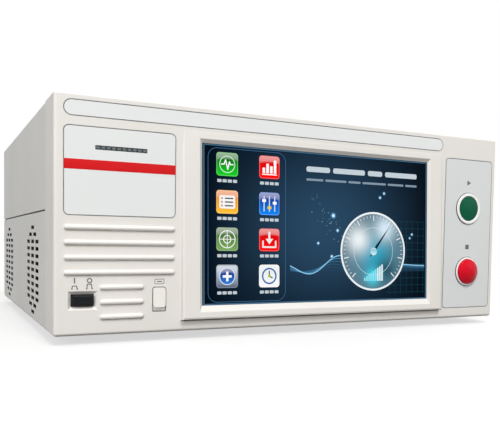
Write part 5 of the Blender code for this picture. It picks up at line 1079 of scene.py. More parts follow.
@dataclass
class PortDoor:
    """The little hinged cover over the upright port, and the socket behind it."""

    edge: float = 0.45
    # The width of the dark line of painted shade round the pocket, and its back and front
    # heights.
    line: float = 0.45
    line_run: Point = (-0.2, 0.04)
    pocket: Area = (74.3, 16.7, 84.7, 35.3)
    upper_corner: float = 2.4
    lower_corner: float = 1.2
    contacts: int = 4
    contact: Point = (0.5, 1.3)
    contact_pitch: float = 2.5
    contact_across: float = -0.85
    contact_run: Point = (-11.0, -2.4)

    def build(self) -> None:
        """Soften the cover and the socket, and lay the contacts on the tongue."""
        door = softened("port_cover", self.edge, "port_door")
        door.data.materials[0] = Finish.PORT_LID.value.material()
        self.outline()
        softened("port_socket", 0.12, "port_shell")
        mouth = FRONT.origin[1] - corners("port_socket")[0][1]
        low, high = (mouth + depth for depth in self.contact_run)
        places = [(self.contact_across, y) for y in row(self.contacts, self.contact_pitch)]
        skin = Skin(front_at("port_socket"))
        skin.blocks(self.contact, places, low, high, 0.1, edge=0.1)
        skin.build("port_contacts", Finish.BRASS, slot="brass")

    def outline(self) -> None:
        """A dark line round the pocket, painted shade standing for the gap round the cover; its
        lower corners are tighter.
        """
        left, bottom, right, top = self.pocket
        area = (left - self.line, bottom - self.line, right + self.line, top + self.line)
        upper, lower = (area_outline(area, radius, 6)
                        for radius in (self.upper_corner, self.lower_corner))
        outline = np.where(upper[:, 1:] > (bottom + top) / 2, upper, lower)
        skin = Skin(FRONT).border(outline, self.line, *self.line_run)
        skin.build("port_gap_painted_shade", Finish.DARK_INK, slot="overlay")


# Display

class Mark(Enum):
    """The plain picture on a tile of the menu."""

    PULSE = "a pulse line"
    CHART = "four bars"
    LIST = "a card with rows"
    SLIDERS = "three sliders"
    TARGET = "rings and cross hairs"
    TRAY = "an arrow into a tray"
    PLUS = "a plus on a disc"
    CLOCK = "a clock face"


@dataclass(frozen=True)
class Tile:
    """One tile of the menu: its column, row, colours above and below, and mark."""

    column: int
    row: int
    colour: str
    glow: str
    mark: Mark


@dataclass
class Display:
    """The leaning display: its glass, and the picture that it shows."""

    lean: float = 1.851
    wide: float = 229.2
    tall: float = 129.8
    border: float = 6.0
    glass: float = 1.8
    layer: float = 0.03
    under: float = -0.2
    grid: float = 1.7
    lit_area: Area = (-113.35, -64.65, 114.35, 64.65)
    menu_area: Area = (-109.45, -62.7, -38.35, 62.3)
    tile_size: Point = (19.2, 19.0)
    tile_corner: float = 2.6
    columns: Point = (-92.5, -54.0)
    rows: tuple[float, ...] = (49.3, 18.8, -11.45, -41.7)
    dash: Point = (3.7, 2.5)
    dash_pitch: float = 4.6
    dash_drop: float = 13.4
    headings_from: float = -18.1
    heading_rows: tuple[tuple[tuple[float, ...], float, float, float, str], ...] = (
        ((24.0, 34.0, 16.0, 36.8), 3.2, 4.6, 50.4, "#c6d2da"),
        ((17.0, 22.0, 13.0, 26.0, 18.0, 13.4), 2.2, 1.9, 41.4, "#8298a8"))
    mesh: Area = (68.0, -60.0, 112.0, 8.0)
    mesh_start: Point = (71.0, -58.0)
    mesh_pitch: float = 6.6
    wave_span: Point = (-34.0, 112.0)
    wave_bell: Point = (8.0, 52.0)
    wave_level: Point = (-33.0, -0.9)
    wave_swing: Point = (9.0, -1.7)
    wave_length: float = 11.0
    wave_lag: float = 0.22
    waves: tuple[tuple[str, float], ...] = (
        ("#8fd0f4", 0.85), ("#5fa3d2", 0.4), ("#4784b2", 0.34), ("#3a7098", 0.3),
        ("#305f83", 0.28), ("#28526f", 0.26), ("#22465f", 0.24))
    dial: Point = (53.0, -20.2)
    dial_radius: float = 34.9
    dial_spots: tuple[tuple[str, float, float, float], ...] = (
        ("#27a7c6", 0.05, -0.1, 0.52), ("#eef6f9", -0.48, 0.3, 0.36),
        ("#d9eefa", 0.36, 0.6, 0.32), ("#2c5868", 0.42, -0.5, 0.34),
        ("#35e2f7", -0.02, -0.66, 0.2))
    dial_ring: Point = (0.9, 1.7)
    scale_ring: Point = (0.62, 0.3)
    ticks: int = 41
    long_tick: Place = (0.8, 0.94, 0.75)
    short_tick: Place = (0.87, 0.94, 0.35)
    needle: Place = (0.84, 0.2, 1.5)
    needle_turn: float = 52.0
    hub: float = 3.6
    meter_bars: int = 9
    meter_lit: int = 6
    meter_start: Point = (-9.6, -27.0)
    meter_pitch: float = 2.4
    meter_bar: Place = (1.7, 3.0, 1.5)
    dots: int = 34
    dots_start: Point = (-12.0, 26.0)
    dots_run: Point = (34.0, -40.0)
    dots_stray: Point = (5.0, 6.0)
    dot_sizes: Point = (0.22, 0.5)
    sparks_at: tuple[Place, ...] = (
        (9.5, 11.0, 1.5), (14.0, -2.0, 1.0), (-6.0, -13.5, 0.9), (60.0, 29.0, 0.9),
        (64.5, 33.0, 0.9), (97.0, -4.0, 0.8), (94.5, -7.5, 0.7), (8.0, -25.0, 1.0))
    tiles: tuple[Tile, ...] = (
        Tile(0, 0, "#0a7a16", "#12cf25", Mark.PULSE),
        Tile(1, 0, "#e2060a", "#ff0a0a", Mark.CHART),
        Tile(0, 1, "#f0881a", "#ffc53a", Mark.LIST),
        Tile(1, 1, "#1545a6", "#0a86f6", Mark.SLIDERS),
        Tile(0, 2, "#4a7636", "#7dac60", Mark.TARGET),
        Tile(1, 2, "#e2060a", "#ff1010", Mark.TRAY),
        Tile(0, 3, "#b9c6d8", "#5d6980", Mark.PLUS),
        Tile(1, 3, "#eef2f4", "#ffffff", Mark.CLOCK))
    plane: Plane = field(init=False)

    def __post_init__(self) -> None:
        """Put the plane on the glass's front, which leans back."""
        lean = math.radians(self.lean)
        up = (0.0, math.sin(lean), math.cos(lean))
        self.plane = Plane(tuple(middle("touch_glass")), RIGHT, up).at(0.0, 0.0, self.glass / 2)

    def height(self, level: float) -> float:
        """The height of a level of the picture over the glass."""
        return level * self.layer

    def build(self) -> None:
        """Make the glass and every part of the picture."""
        self.pane()
        for name, draw in (("display_lines", self.frame_lines), ("display_menu", self.menu),
                           ("display_headings", self.headings),
                           ("display_traces", self.traces), ("display_gauge", self.gauge),
                           ("display_sparks", self.sparks)):
            skin = Skin(self.plane)
            draw(skin)
            skin.build(name, Finish.SCREEN, slot="screen")

    def backdrop(self, x: Array, y: Array) -> Array:
        """The picture's ground: steel blue in the middle, nearly black at the edges.

        Args:
            x: the places across.
            y: the places upwards.
        Returns:
            The colours, edge + (middle - edge) exp(-(x / 80)^2 - (x / 112)^12 - (y / 66)^2).
        """
        edge = np.array(linear("#000712")[:3])
        inner = np.array(linear("#294863")[:3])
        weight = np.exp(-(x / 80.0) ** 2 - (x / 112.0) ** 12 - (y / 66.0) ** 2)
        return edge + weight[:, None] * (inner - edge)

    def pane(self) -> None:
        """The glass: a slab whose front carries the ground on a fine grid."""
        xs, ys = (np.linspace(-half, half, int(2 * half / self.grid))
                  for half in (self.wide / 2 + self.border, self.tall / 2 + self.border))
        loop = np.concatenate([at_height(ys[:, None], 0.0),
                               at_height(ys[::-1, None], -self.glass)])
        rings = np.empty((len(xs), len(loop), 3))
        rings[:, :, 0] = xs[:, None]
        rings[:, :, 1:] = loop
        skin = Skin(self.plane).loft(rings, tint=self.backdrop)
        skin.build("display_pane", Finish.SCREEN, ("touch_glass",))

    def frame_lines(self, skin: Skin) -> None:
        """The black margin, the edge of the lit area and the menu's outline.

        Args:
            skin: the skin that takes them.
        """
        margin = rounded_rectangle(self.wide + 2 * self.border, self.tall + 2 * self.border,
                                   0.5, 2)
        lit = area_outline(self.lit_area, 0.5)
        menu = area_outline(self.menu_area, 8.0, 10)
        for outline, width, level, tint in ((margin, self.border + 0.25, 1, "#05080c"),
                                            (lit, 0.95, 1.2, "#4a7390"),
                                            (menu, 0.4, 1, "#3f6c93")):
            skin.border(outline, width, self.under, self.height(level), tint)

    def gloss(self, colour: str, glow: str, x0: float, y0: float, half: float
              ) -> Callable[[Array, Array], Array]:
        """A tile's shading: one colour that turns to another below, under a pale sheen.

        Args:
            colour: the tile's own colour.
            glow: its colour at the foot.
            x0: its middle across.
            y0: its middle upwards.
            half: half its height.
        Returns:
            The colour as a function of x and y: c + (g - c) t, with a share of white over
            the upper third that grows upwards.
        """
        base, foot = (np.array(linear(tone)[:3]) for tone in (colour, glow))

        def shade(x: Array, y: Array) -> Array:
            """Shade the tile's points.

            Args:
                x: their places across.
                y: their places upwards.
            Returns:
                Their colours.
            """
            rise = np.clip((y - y0) / half, -1, 1)
            fall = np.clip((0.35 - rise) / 1.25, 0, 1)[:, None]
            curve = 0.42 - 0.12 * ((x - x0) / half) ** 2
            sheen = np.clip((rise - curve) * 8, 0, 1) * (0.1 + 0.26 * np.clip(rise, 0, 1))
            tone = base + (foot - base) * fall
            return np.clip(tone + (1 - tone) * sheen[:, None], 0, 1)

        return shade

    def menu(self, skin: Skin) -> None:
        """Eight glossy tiles in two columns, each with a mark and a row of dashes.

        Args:
            skin: the skin that takes them.
        """
        for tile in self.tiles:
            x, y = self.columns[tile.column], self.rows[tile.row]
            outline = rounded_rectangle(*self.tile_size, self.tile_corner, 6, (x, y))
            skin.border(inset(outline, -0.35), 0.5, self.under, self.height(1), "#0a1420")
            skin.plate(stepped(outline, 1.0), self.under, self.height(2), 0.0, 12,
                       self.gloss(tile.colour, tile.glow, x, y, self.tile_size[1] / 2))
            edge = "#ffffff" if tile.mark is Mark.CLOCK else self.pale(tile.glow)
            skin.border(inset(outline, 0.25), 0.4, self.under, self.height(2.6), edge)
            self.draw(skin, tile.mark, x, y)
            places = [(x + dx, y - self.dash_drop) for dx in row(4, self.dash_pitch)]
            skin.blocks(self.dash, places, self.under, self.height(1), 0.5, 3, tint="#c4ced6")

    def pale(self, colour: str) -> Callable[[Array, Array], Array]:
        """A colour with a fifth of white in it, all over."""
        tone = 0.2 + 0.8 * np.array(linear(colour)[:3])
        return lambda x, y: np.tile(tone, (len(x), 1))

    def draw(self, skin: Skin, mark: Mark, x: float, y: float) -> None:
        """Draw a tile's mark.

        Args:
            skin: the skin that takes it.
            mark: which one.
            x: the tile's middle across.
            y: the tile's middle upwards.
        """
        low, high, over = self.under, self.height(4), self.height(6)
        at = np.array([x, y])

        def line(points: Sequence[Point], width: float, tint: str, top: float = high) -> None:
            """Draw straight strips from point to point.

            Args:
                points: their ends, from the tile's middle.
                width: their width.
                tint: their colour.
                top: the height of their front.
            """
            for start, end in zip(points[:-1], points[1:]):
                run = np.array(end, float) - start
                grow = run / np.linalg.norm(run) * width * 0.3
                skin.ribbon(np.array([start - grow, end + grow]) + at, width, low, top, tint)

        def block(width: float, height: float, dx: float, dy: float, tint: str,
                  radius: float = 0.3, top: float = high) -> None:
            """Draw a small rounded block.

            Args:
                width: its width.
                height: its height on the face.
                dx: its place across, from the tile's middle.
                dy: its place upwards, from the tile's middle.
                tint: its colour.
                radius: its corners' radius.
                top: the height of its front.
            """
            skin.blocks((width, height), [(x + dx, y + dy)], low, top, radius, 4, tint=tint)

        def ring(radius: float, width: float, tint: str, sides: int = 48,
                 top: float = high) -> None:
            """Draw a ring round the tile's middle.

            Args:
                radius: its outer radius.
                width: its width.
                tint: its colour.
                sides: its steps.
                top: the height of its front.
            """
            skin.border(circle(radius, sides, (x, y)), width, low, top, tint)

        if mark is Mark.PULSE:
            ring(7.0, 0.7, "#c9f0cd")
            line([(-5.2, 0), (-2.8, 0), (-1.5, 3.6), (0.4, -4.0), (1.9, 2.2), (2.8, 0),
                  (5.2, 0)], 0.95, "#ffffff")
        elif mark is Mark.CHART:
            block(14.0, 0.9, 0.0, -6.0, "#ffffff", 0.2)
            for dx, tall in zip(row(4, 3.5), (4.5, 8.0, 6.0, 11.0)):
                block(2.4, tall, dx, tall / 2 - 5.0, "#ffffff")
        elif mark is Mark.LIST:
            block(14.2, 10.8, 0.0, 0.0, "#f6f6f4", 1.6)
            for dy in row(3, 3.0):
                block(7.4, 1.0, 1.6, dy, "#3b3f46", 0.2, over)
                block(1.5, 1.5, -4.7, dy, "#c2741a", 0.7, over)
        elif mark is Mark.SLIDERS:
            for dx, knob, tone in zip(row(3, 5.0), (2.6, -3.2, 0.8),
                                      ("#ffffff", "#f4cf2c", "#ffffff")):
                line([(dx, -6.2), (dx, 6.2)], 0.9, "#dbe6f4")
                block(3.6, 2.4, dx, knob, tone, 0.6, over)
        elif mark is Mark.TARGET:
            ring(7.4, 0.8, "#f2f6ef")
            ring(3.6, 0.8, "#f2f6ef", 40)
            line([(-7.0, 0), (7.0, 0)], 0.6, "#f2f6ef")
            line([(0, -7.0), (0, 7.0)], 0.6, "#f2f6ef")
        elif mark is Mark.TRAY:
            line([(-6.0, -1.0), (-6.0, -6.0), (6.0, -6.0), (6.0, -1.0)], 1.4, "#f1eeec")
            line([(0, 6.4), (0, 0.5)], 1.9, "#f1eeec")
            head = np.array([(-3.6, 1.0), (0.0, -3.6), (3.6, 1.0)]) + at
            skin.plate(head, low, over, tint="#f1eeec")
        elif mark is Mark.PLUS:
            skin.plate(circle(6.8, 48, (x, y)), low, high, 0.0, 6,
                       self.gloss("#173f94", "#2f7fe0", x, y, 6.8))
            ring(7.1, 0.7, "#dfe6ee", top=self.height(5))
            block(8.0, 2.0, 0.0, 0.0, "#ffffff", 0.4, over)
            block(2.0, 8.0, 0.0, 0.0, "#ffffff", 0.4, over)
        else:
            ring(6.9, 1.3, "#3467a4")
            line([(0, 0), (0, 4.2)], 1.0, "#3f4c58", over)
            line([(0, 0), (2.9, -1.6)], 1.0, "#3f4c58", over)
            skin.plate(circle(1.2, 20, (x, y)), low, self.height(7), tint="#a5c21e")

    def headings(self, skin: Skin) -> None:
        """Plain bars where the picture's heading stands.

        Args:
            skin: the skin that takes them.
        """
        for lengths, gap, height, y, tint in self.heading_rows:
            start = self.headings_from
            for length in lengths:
                skin.blocks((length, height), [(start + length / 2, y)], self.under,
                            self.height(1), height / 2.6, 4, tint=tint)
                start += length + gap

    def traces(self, skin: Skin) -> None:
        """A measuring grid, with a bundle of measured waves across it.

        Wave i is y = level + swing sin(x / length + lag i) inside a bell
        exp(-((x - x0) / w)^2), its level and swing the first value and i steps.

        Args:
            skin: the skin that takes them.
        """
        left, bottom, right, top = self.mesh
        upright = [[(x, bottom), (x, top)]
                   for x in self.mesh_start[0] + self.mesh_pitch * np.arange(7)]
        level = [[(left, y), (right, y)]
                 for y in self.mesh_start[1] + self.mesh_pitch * np.arange(11)]
        for run in upright + level:
            skin.ribbon(np.array(run), 0.22, self.under, self.height(0.5), "#15505a")
        x = np.linspace(*self.wave_span, 220)
        centre, spread = self.wave_bell
        bell = np.exp(-((x - centre) / spread) ** 2)
        for i, (tone, width) in enumerate(self.waves):
            level, swing = (first + step * i
                            for first, step in (self.wave_level, self.wave_swing))
            y = level + swing * bell * np.sin(x / self.wave_length + self.wave_lag * i)
            skin.ribbon(np.column_stack([x, y]), width, self.under,
                        self.height(1 - 0.05 * i), tone)

    def face_colour(self, x: Array, y: Array) -> Array:
        """The gauge's face: pale at its upper left, cyan in the middle, grey at its rim.

        Args:
            x: the places across.
            y: the places upwards.
        Returns:
            The rim's colour, with each spot of the dial laid over it by the weight
            exp(-((u - a)^2 + (v - b)^2) / size^2), u and v in radii of the dial.
        """
        u, v = (x - self.dial[0]) / self.dial_radius, (y - self.dial[1]) / self.dial_radius
        colour = np.tile(np.array(linear("#5f7c8b")[:3]), (len(x), 1))
        for tone, a, b, size in self.dial_spots:
            weight = np.exp(-((u - a) ** 2 + (v - b) ** 2) / size ** 2)[:, None]
            colour = colour * (1 - weight) + weight * np.array(linear(tone)[:3])
        return colour

    def gauge(self, skin: Skin) -> None:
        """A round dial with ticks and a needle, glossy as a lens.

        Args:
            skin: the skin that takes it.
        """
        x0, y0 = self.dial
        radius, low = self.dial_radius, self.under
        skin.plate(circle(radius, 96, self.dial), low, self.height(3), 0.0, 22,
                   self.face_colour)
        proud, wide = self.dial_ring
        skin.border(circle(radius + proud, 96, self.dial), wide, low, self.height(4),
                    "#f2f8fb")
        share, wide = self.scale_ring
        skin.border(circle(radius * share, 72, self.dial), wide, low, self.height(4),
                    "#e4f1f6")
        for i, turn in enumerate(np.radians(np.linspace(225, -45, self.ticks))):
            way = np.array([math.cos(turn), math.sin(turn)])
            start, end, wide = self.short_tick if i % 5 else self.long_tick
            run = np.array([way * radius * start, way * radius * end]) + self.dial
            skin.ribbon(run, wide, low, self.height(5), "#f4fafc")
        turn = math.radians(self.needle_turn)
        way = np.array([math.cos(turn), math.sin(turn)])
        ahead, behind, half = self.needle
        side = np.array([-way[1], way[0]]) * half
        needle = np.array([way * radius * ahead, side, -way * radius * behind, -side])
        skin.plate(needle + self.dial, low, self.height(6), tint="#0c2433")
        skin.plate(circle(self.hub, 36, self.dial), low, self.height(7), 0.0, 4,
                   self.gloss("#8fc9dd", "#d5f2fb", x0, y0, self.hub))
        dx, dy = self.meter_start
        wide, first, step = self.meter_bar
        for i in range(self.meter_bars):
            tall = first + step * i
            place = (x0 + dx + self.meter_pitch * i, y0 + dy + tall / 2)
            skin.blocks((wide, tall), [place], low, self.height(5), 0.3,
                        tint="#8fe3f2" if i < self.meter_lit else "#dff6fb")

    def sparks(self, skin: Skin) -> None:
        """Small bright dots of a scatter plot over the ground.

        Args:
            skin: the skin that takes them.
        """
        chance = np.random.default_rng(7)
        along = chance.uniform(0, 1, self.dots)
        x, y = (start + run * along + chance.normal(0, stray, self.dots)
                for start, run, stray in zip(self.dots_start, self.dots_run,
                                             self.dots_stray))
        size = chance.uniform(*self.dot_sizes, self.dots)
        for i in range(self.dots):
            skin.plate(circle(size[i], 12, (x[i], y[i])), self.under, self.height(1.5),
                       tint="#7d9fb8")
        for x0, y0, core in self.sparks_at:
            skin.plate(circle(core * 1.9, 28, (x0, y0)), self.under, self.height(1.6),
                       tint="#3f7ea8")
            skin.plate(circle(core, 24, (x0, y0)), self.under, self.height(2),
                       tint="#d8f2ff")


# Housing

@dataclass
class Screw:
    """A pan-head screw with a cross recess."""

    radius: float = 3.0
    rise: float = 1.6
    sunk: float = 0.3
    wall: float = 0.35
    crown: float = 0.5
    cross: float = 1.7
    cross_edge: float = 1.15
    slot: float = 0.42
    depth: float = 0.9
    taper: float = 0.8
    sides: int = 48

    def add(self, skin: Skin, x: float, y: float, seat: float) -> None:
        """Add the head to a skin.

        Its rounding at angle a has the radius r - crown h (1 - cos a) and the height
        h (wall + (1 - wall) sin a), where r is its radius and h its rise. Its recess reaches
        min(cross / max, slot / min) of |cos a| and |sin a|.

        Args:
            skin: the skin that takes it.
            x: its middle across.
            y: its middle upwards.
            seat: the height that it stands on.
        """
        # A hair's turn keeps every sine and cosine off zero.
        angle = np.arange(self.sides) * 2 * math.pi / self.sides + 1e-4
        way = np.stack([np.cos(angle), np.sin(angle)], 1)
        big, small = np.abs(way).max(1), np.abs(way).min(1)
        recess = way * np.minimum(self.cross / big, self.slot / small)[:, None]
        top = seat + self.rise
        rings = [at_height(way * self.radius, seat - self.sunk)]
        rings += [at_height(way * (self.radius - self.crown * self.rise * (1 - math.cos(a))),
                            seat + self.rise * (self.wall + (1 - self.wall) * math.sin(a)))
                  for a in np.linspace(0, QUARTER, 6)]
        rings += [at_height(way * self.cross * self.cross_edge, top), at_height(recess, top),
                  at_height(recess * self.taper, top - self.depth),
                  at_height(way * 0.0, top - self.depth)]
        rings = np.array(rings)
        rings[:, :, :2] += (x, y)
        skin.loft(rings)


@dataclass
class Housing:
    """The two steel shells, the cover screws, a black strip of painted shade behind the seam,
    and the feet.
    """

    edge: float = 0.2
    bend: float = 0.7
    sheet: float = 1.2
    rim: float = 0.05
    slot_face: float = 40.0
    # The black strip of painted shade behind the seam: its width and thickness, and its drop
    # below the cover.
    tape: Point = (5.0, 0.26)
    tape_drop: float = 0.6
    foot_edge: float = 1.2
    foot_taper: float = 1.0
    foot_dish: Point = (3.4, 2.6)

    def build(self) -> None:
        """Dress the shells, with painted shade on the vent slots' walls and behind the seam, and
        the screws and feet.
        """
        self.punch(softened("bottom_chassis", self.edge, "chassis_shell"))
        self.seam()
        softened("top_cover", self.edge, "cover_shell", self.bend, bent=True)
        for side in ("left", "middle", "right"):
            self.cover_screw("cover_screw_" + side)
        for name in ("front_left", "front_right", "rear_left", "rear_right"):
            self.foot("foot_" + name)

    def cover_screw(self, node: str) -> None:
        """A screw's domed head, with the end of its shank below the cover.

        Args:
            node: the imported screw.
        """
        x, y, _ = middle(node)
        skin = Skin(Plane((x, y, corners("top_cover")[1][2]), RIGHT, BACK))
        Screw(radius=2.95, rise=1.6).add(skin, 0.0, 0.0, 0.3)
        shank, end = 1.45, -5.7
        skin.turned([(0.0, 0.2), (shank, 0.2), (shank, end + 0.7), (0.9, end), (0.0, end)], 24)
        skin.build(node + "_head", Finish.NICKEL, (node,))

    def punch(self, shell: bpy.types.Object) -> None:
        """Paint shade on the slots' walls: small faces within the thickness of a side turn near
        black.

        Args:
            shell: the chassis, whose slots' walls get the painted shade.
        """
        # Painted shade: a near-black second material for the walls of the slots.
        shell.data.materials.append(Finish.PUNCHED_EDGE.value.material())
        outside = corners("bottom_chassis")[1][0]
        for face in shell.data.polygons:
            depth = outside - abs(face.center[0]) / MM
            if (self.rim < depth < self.sheet - self.rim
                    and face.area / MM ** 2 < self.slot_face):
                face.material_index = 1

    def seam(self) -> None:
        """Painted shade: a black strip on each side rail, just below the cover's edge, darkens
        the seam between the shells.
        """
        low, high = corners("top_cover")
        width, thick = self.tape
        strip = rounded_rectangle(high[1] - low[1] - 2.0, width, 0.4, 2)
        for name, side, outer in (("left", -1.0, 0), ("right", 1.0, 1)):
            x = corners("side_rail_" + name)[outer][0]
            plane = Plane((x, (low[1] + high[1]) / 2, low[2] - self.tape_drop),
                          (0.0, side, 0.0), UP)
            skin = Skin(plane).plate(strip, -0.02, thick, 0.1)
            skin.build("seam_shade_strip_" + name, Finish.RUBBER)

    def foot(self, node: str) -> None:
        """A turned rubber foot: a tapered side, a round sole edge and a dished sole.

        Args:
            node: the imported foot.
        """
        low, high = corners(node)
        x, y, _ = middle(node)
        radius, tall = (high[0] - low[0]) / 2, high[2] - low[2]
        dish, deep = self.foot_dish
        edge = round_edge(radius - self.foot_taper, tall, self.foot_edge)
        profile = [(0.0, 0.0), (radius, 0.0), (radius, 0.8), *edge, (dish + 0.8, tall),
                   (dish + 0.2, tall - 0.4), (dish, tall - deep), (0.0, tall - deep)]
        plane = Plane((x, y, high[2]), RIGHT, (0.0, -1.0, 0.0))
        Skin(plane).turned(profile, 48).build(node + "_rubber", Finish.RUBBER, (node,))


# Rear

@dataclass
class Fan:
    """The fan: its frame, a wire guard and a rotor with curved blades."""

    hub: float = 18.0
    hub_edge: float = 2.5
    dish: Point = (10.6, 0.4)
    blades: int = 7
    root_pitch: float = 52.0
    tip_pitch: float = 28.0
    root_chord: float = 15.0
    tip_chord: float = 25.0
    root_sunk: float = 1.5
    tip_gap: float = 1.6
    taper: float = 0.06
    thick: float = 1.5
    camber: float = 1.4
    seat: float = 0.3
    wire: float = 0.9
    rings: tuple[float, ...] = (38.0, 27.0, 16.0)
    eye: float = 3.1
    eye_gap: float = 3.4
    screw_reach: float = 41.25

    def build(self) -> None:
        """Dress the frame, and make the guard, its screws and the rotor."""
        softened("fan_frame", 0.35, "fan_housing")
        self.guard()
        self.rotor()

    def guard(self) -> None:
        """Rings of wire on four ribs that end in eyes round the screws."""
        plane = rear_at("fan_guard")
        places = [(x, y) for x in (-self.screw_reach, self.screw_reach)
                  for y in (-self.screw_reach, self.screw_reach)]
        lift = self.seat + self.wire
        skin = Skin(plane)
        for radius in self.rings:
            skin.tube(at_height(circle(radius, 72), lift + self.wire), self.wire, UP, loop=True)
        along = np.linspace(-1, 1, 41) * (self.screw_reach * math.sqrt(2) - self.eye_gap)
        for turn in (math.radians(45), math.radians(135)):
            cos, sin = math.cos(turn), math.sin(turn)
            rib = at_height(along[:, None] * np.array([cos, sin]), lift)
            skin.tube(rib, self.wire, (-sin, cos, 0.0))
        for place in places:
            skin.tube(at_height(circle(self.eye, 24, place), lift), self.wire, UP, loop=True)
        skin.build("fan_wire_guard", Finish.NICKEL, ("fan_guard",), sharp=80.0)
        screws = Skin(plane)
        for x, y in places:
            Screw(radius=3.3, rise=1.3).add(screws, x, y, self.seat + 1.5)
        screws.build("fan_guard_screws", Finish.NICKEL, slot="nickel")

    def rotor(self) -> None:
        """A cup-shaped hub with curved, twisted blades.

        A blade's section at share s of its length is turned by its pitch
        p = root + (tip - root) s about the radius, and is
        (c t, camber (1 - 4 t^2) +- thick / 2 sqrt(1 - 4 t^2)) for t from -1/2 to 1/2.
        """
        low, high = corners("fan_rotor")
        centre = middle("fan_frame")
        length = high[1] - low[1]
        skin = Skin(Plane((centre[0], high[1], centre[2]), LEFT, UP))
        dish, deep = self.dish
        skin.turned([(0.0, -length), (self.hub, -length),
                     *round_edge(self.hub, 0.0, self.hub_edge, 8), (dish + 0.4, 0.0),
                     (dish, -deep), (0.0, -deep)], 72)
        root = self.hub - self.root_sunk
        tip = (high[0] - low[0]) / 2 - self.tip_gap
        share = np.linspace(0, 1, 14)[:, None]
        angle = np.linspace(0, 2 * math.pi, 29)[None, :-1]
        along = np.cos(angle) / 2
        chord = self.root_chord + (self.tip_chord - self.root_chord) * share
        pitch = np.radians(self.root_pitch + (self.tip_pitch - self.root_pitch) * share)
        across = chord * along * (1 - self.taper * share)
        swell = self.camber * (1 - 4 * along ** 2) + self.thick / 2 * np.sin(angle)
        side = across * np.cos(pitch) - swell * np.sin(pitch)
        depth = across * np.sin(pitch) + swell * np.cos(pitch) - length / 2
        out = np.sqrt((root + (tip - root) * share) ** 2 - side ** 2)
        for turn in np.arange(self.blades) * 2 * math.pi / self.blades:
            x = out * math.cos(turn) - side * math.sin(turn)
            y = out * math.sin(turn) + side * math.cos(turn)
            skin.loft(np.stack([x, y, depth], -1))
        skin.build("fan_blade_rotor", Finish.BLACK_PLASTIC, ("fan_rotor",), sharp=50.0)


@dataclass
class Terminal:
    """A shrouded test socket with a sprung metal contact in its bore."""

    node: str
    bore: float
    top: float = 15.0
    flange: float = 3.3
    seat: float = 0.3
    tail: float = 19.7
    floor: float = 16.7
    neck: float = 0.7
    lip: float = 0.6
    rim: float = 0.8
    grips: int = 4
    grip_start: float = 6.2
    grip_pitch: float = 1.9
    groove: float = 0.35
    contact: Point = (1.9, 2.9)
    contact_run: Point = (-14.0, 10.0)
    contact_tip: Point = (0.3, 0.6)
    contact_base: Point = (-15.9, -13.8)

    def build(self) -> None:
        """Turn the shroud with its grip rings, and the contact inside it."""
        plane = rear_at(self.node)
        shroud = Skin(plane).turned(self.profile(), 56)
        shroud.build(self.node + "_shroud", finish_of(self.node), (self.node,))
        inner, outer = self.contact
        foot, tip = self.contact_run
        narrow, down = self.contact_tip
        wall = [(inner, foot), (inner, tip - down), (inner + narrow, tip),
                (outer - narrow, tip), (outer, tip - down), (outer, foot)]
        low, high = self.contact_base
        contact = Skin(plane).turned(wall, 28, closed=True)
        contact.turned([(0.0, low), (outer, low), (outer, high), (0.0, high)], 28)
        contact.build(self.node + "_contact", Finish.BRASS, slot="brass")

    def profile(self) -> list[Point]:
        """The shroud's turned profile.

        Returns:
            Its points: down in the bore, over the lip, past the grip rings to the flange,
            and down the tail behind the sheet.
        """
        low, high = corners(self.node)
        radius = (high[0] - low[0]) / 2
        neck = self.neck * radius
        grip = []
        for i in range(self.grips):
            height, deep = self.grip_start + self.grip_pitch * i, neck - self.groove
            grip += [(neck, height), (deep, height + 0.35), (deep, height + 0.75),
                     (neck, height + 1.1)]
        return [(0.0, -self.floor), (self.bore, -self.floor), (self.bore, self.top - 0.5),
                (self.bore + 0.35, self.top), *round_edge(neck, self.top, self.lip, 5)[::-1],
                *grip[::-1], (neck, self.flange),
                *round_edge(radius, self.flange, self.rim, 5)[::-1], (radius, self.seat),
                (neck, self.seat), (neck, -self.tail), (0.0, -self.tail)]


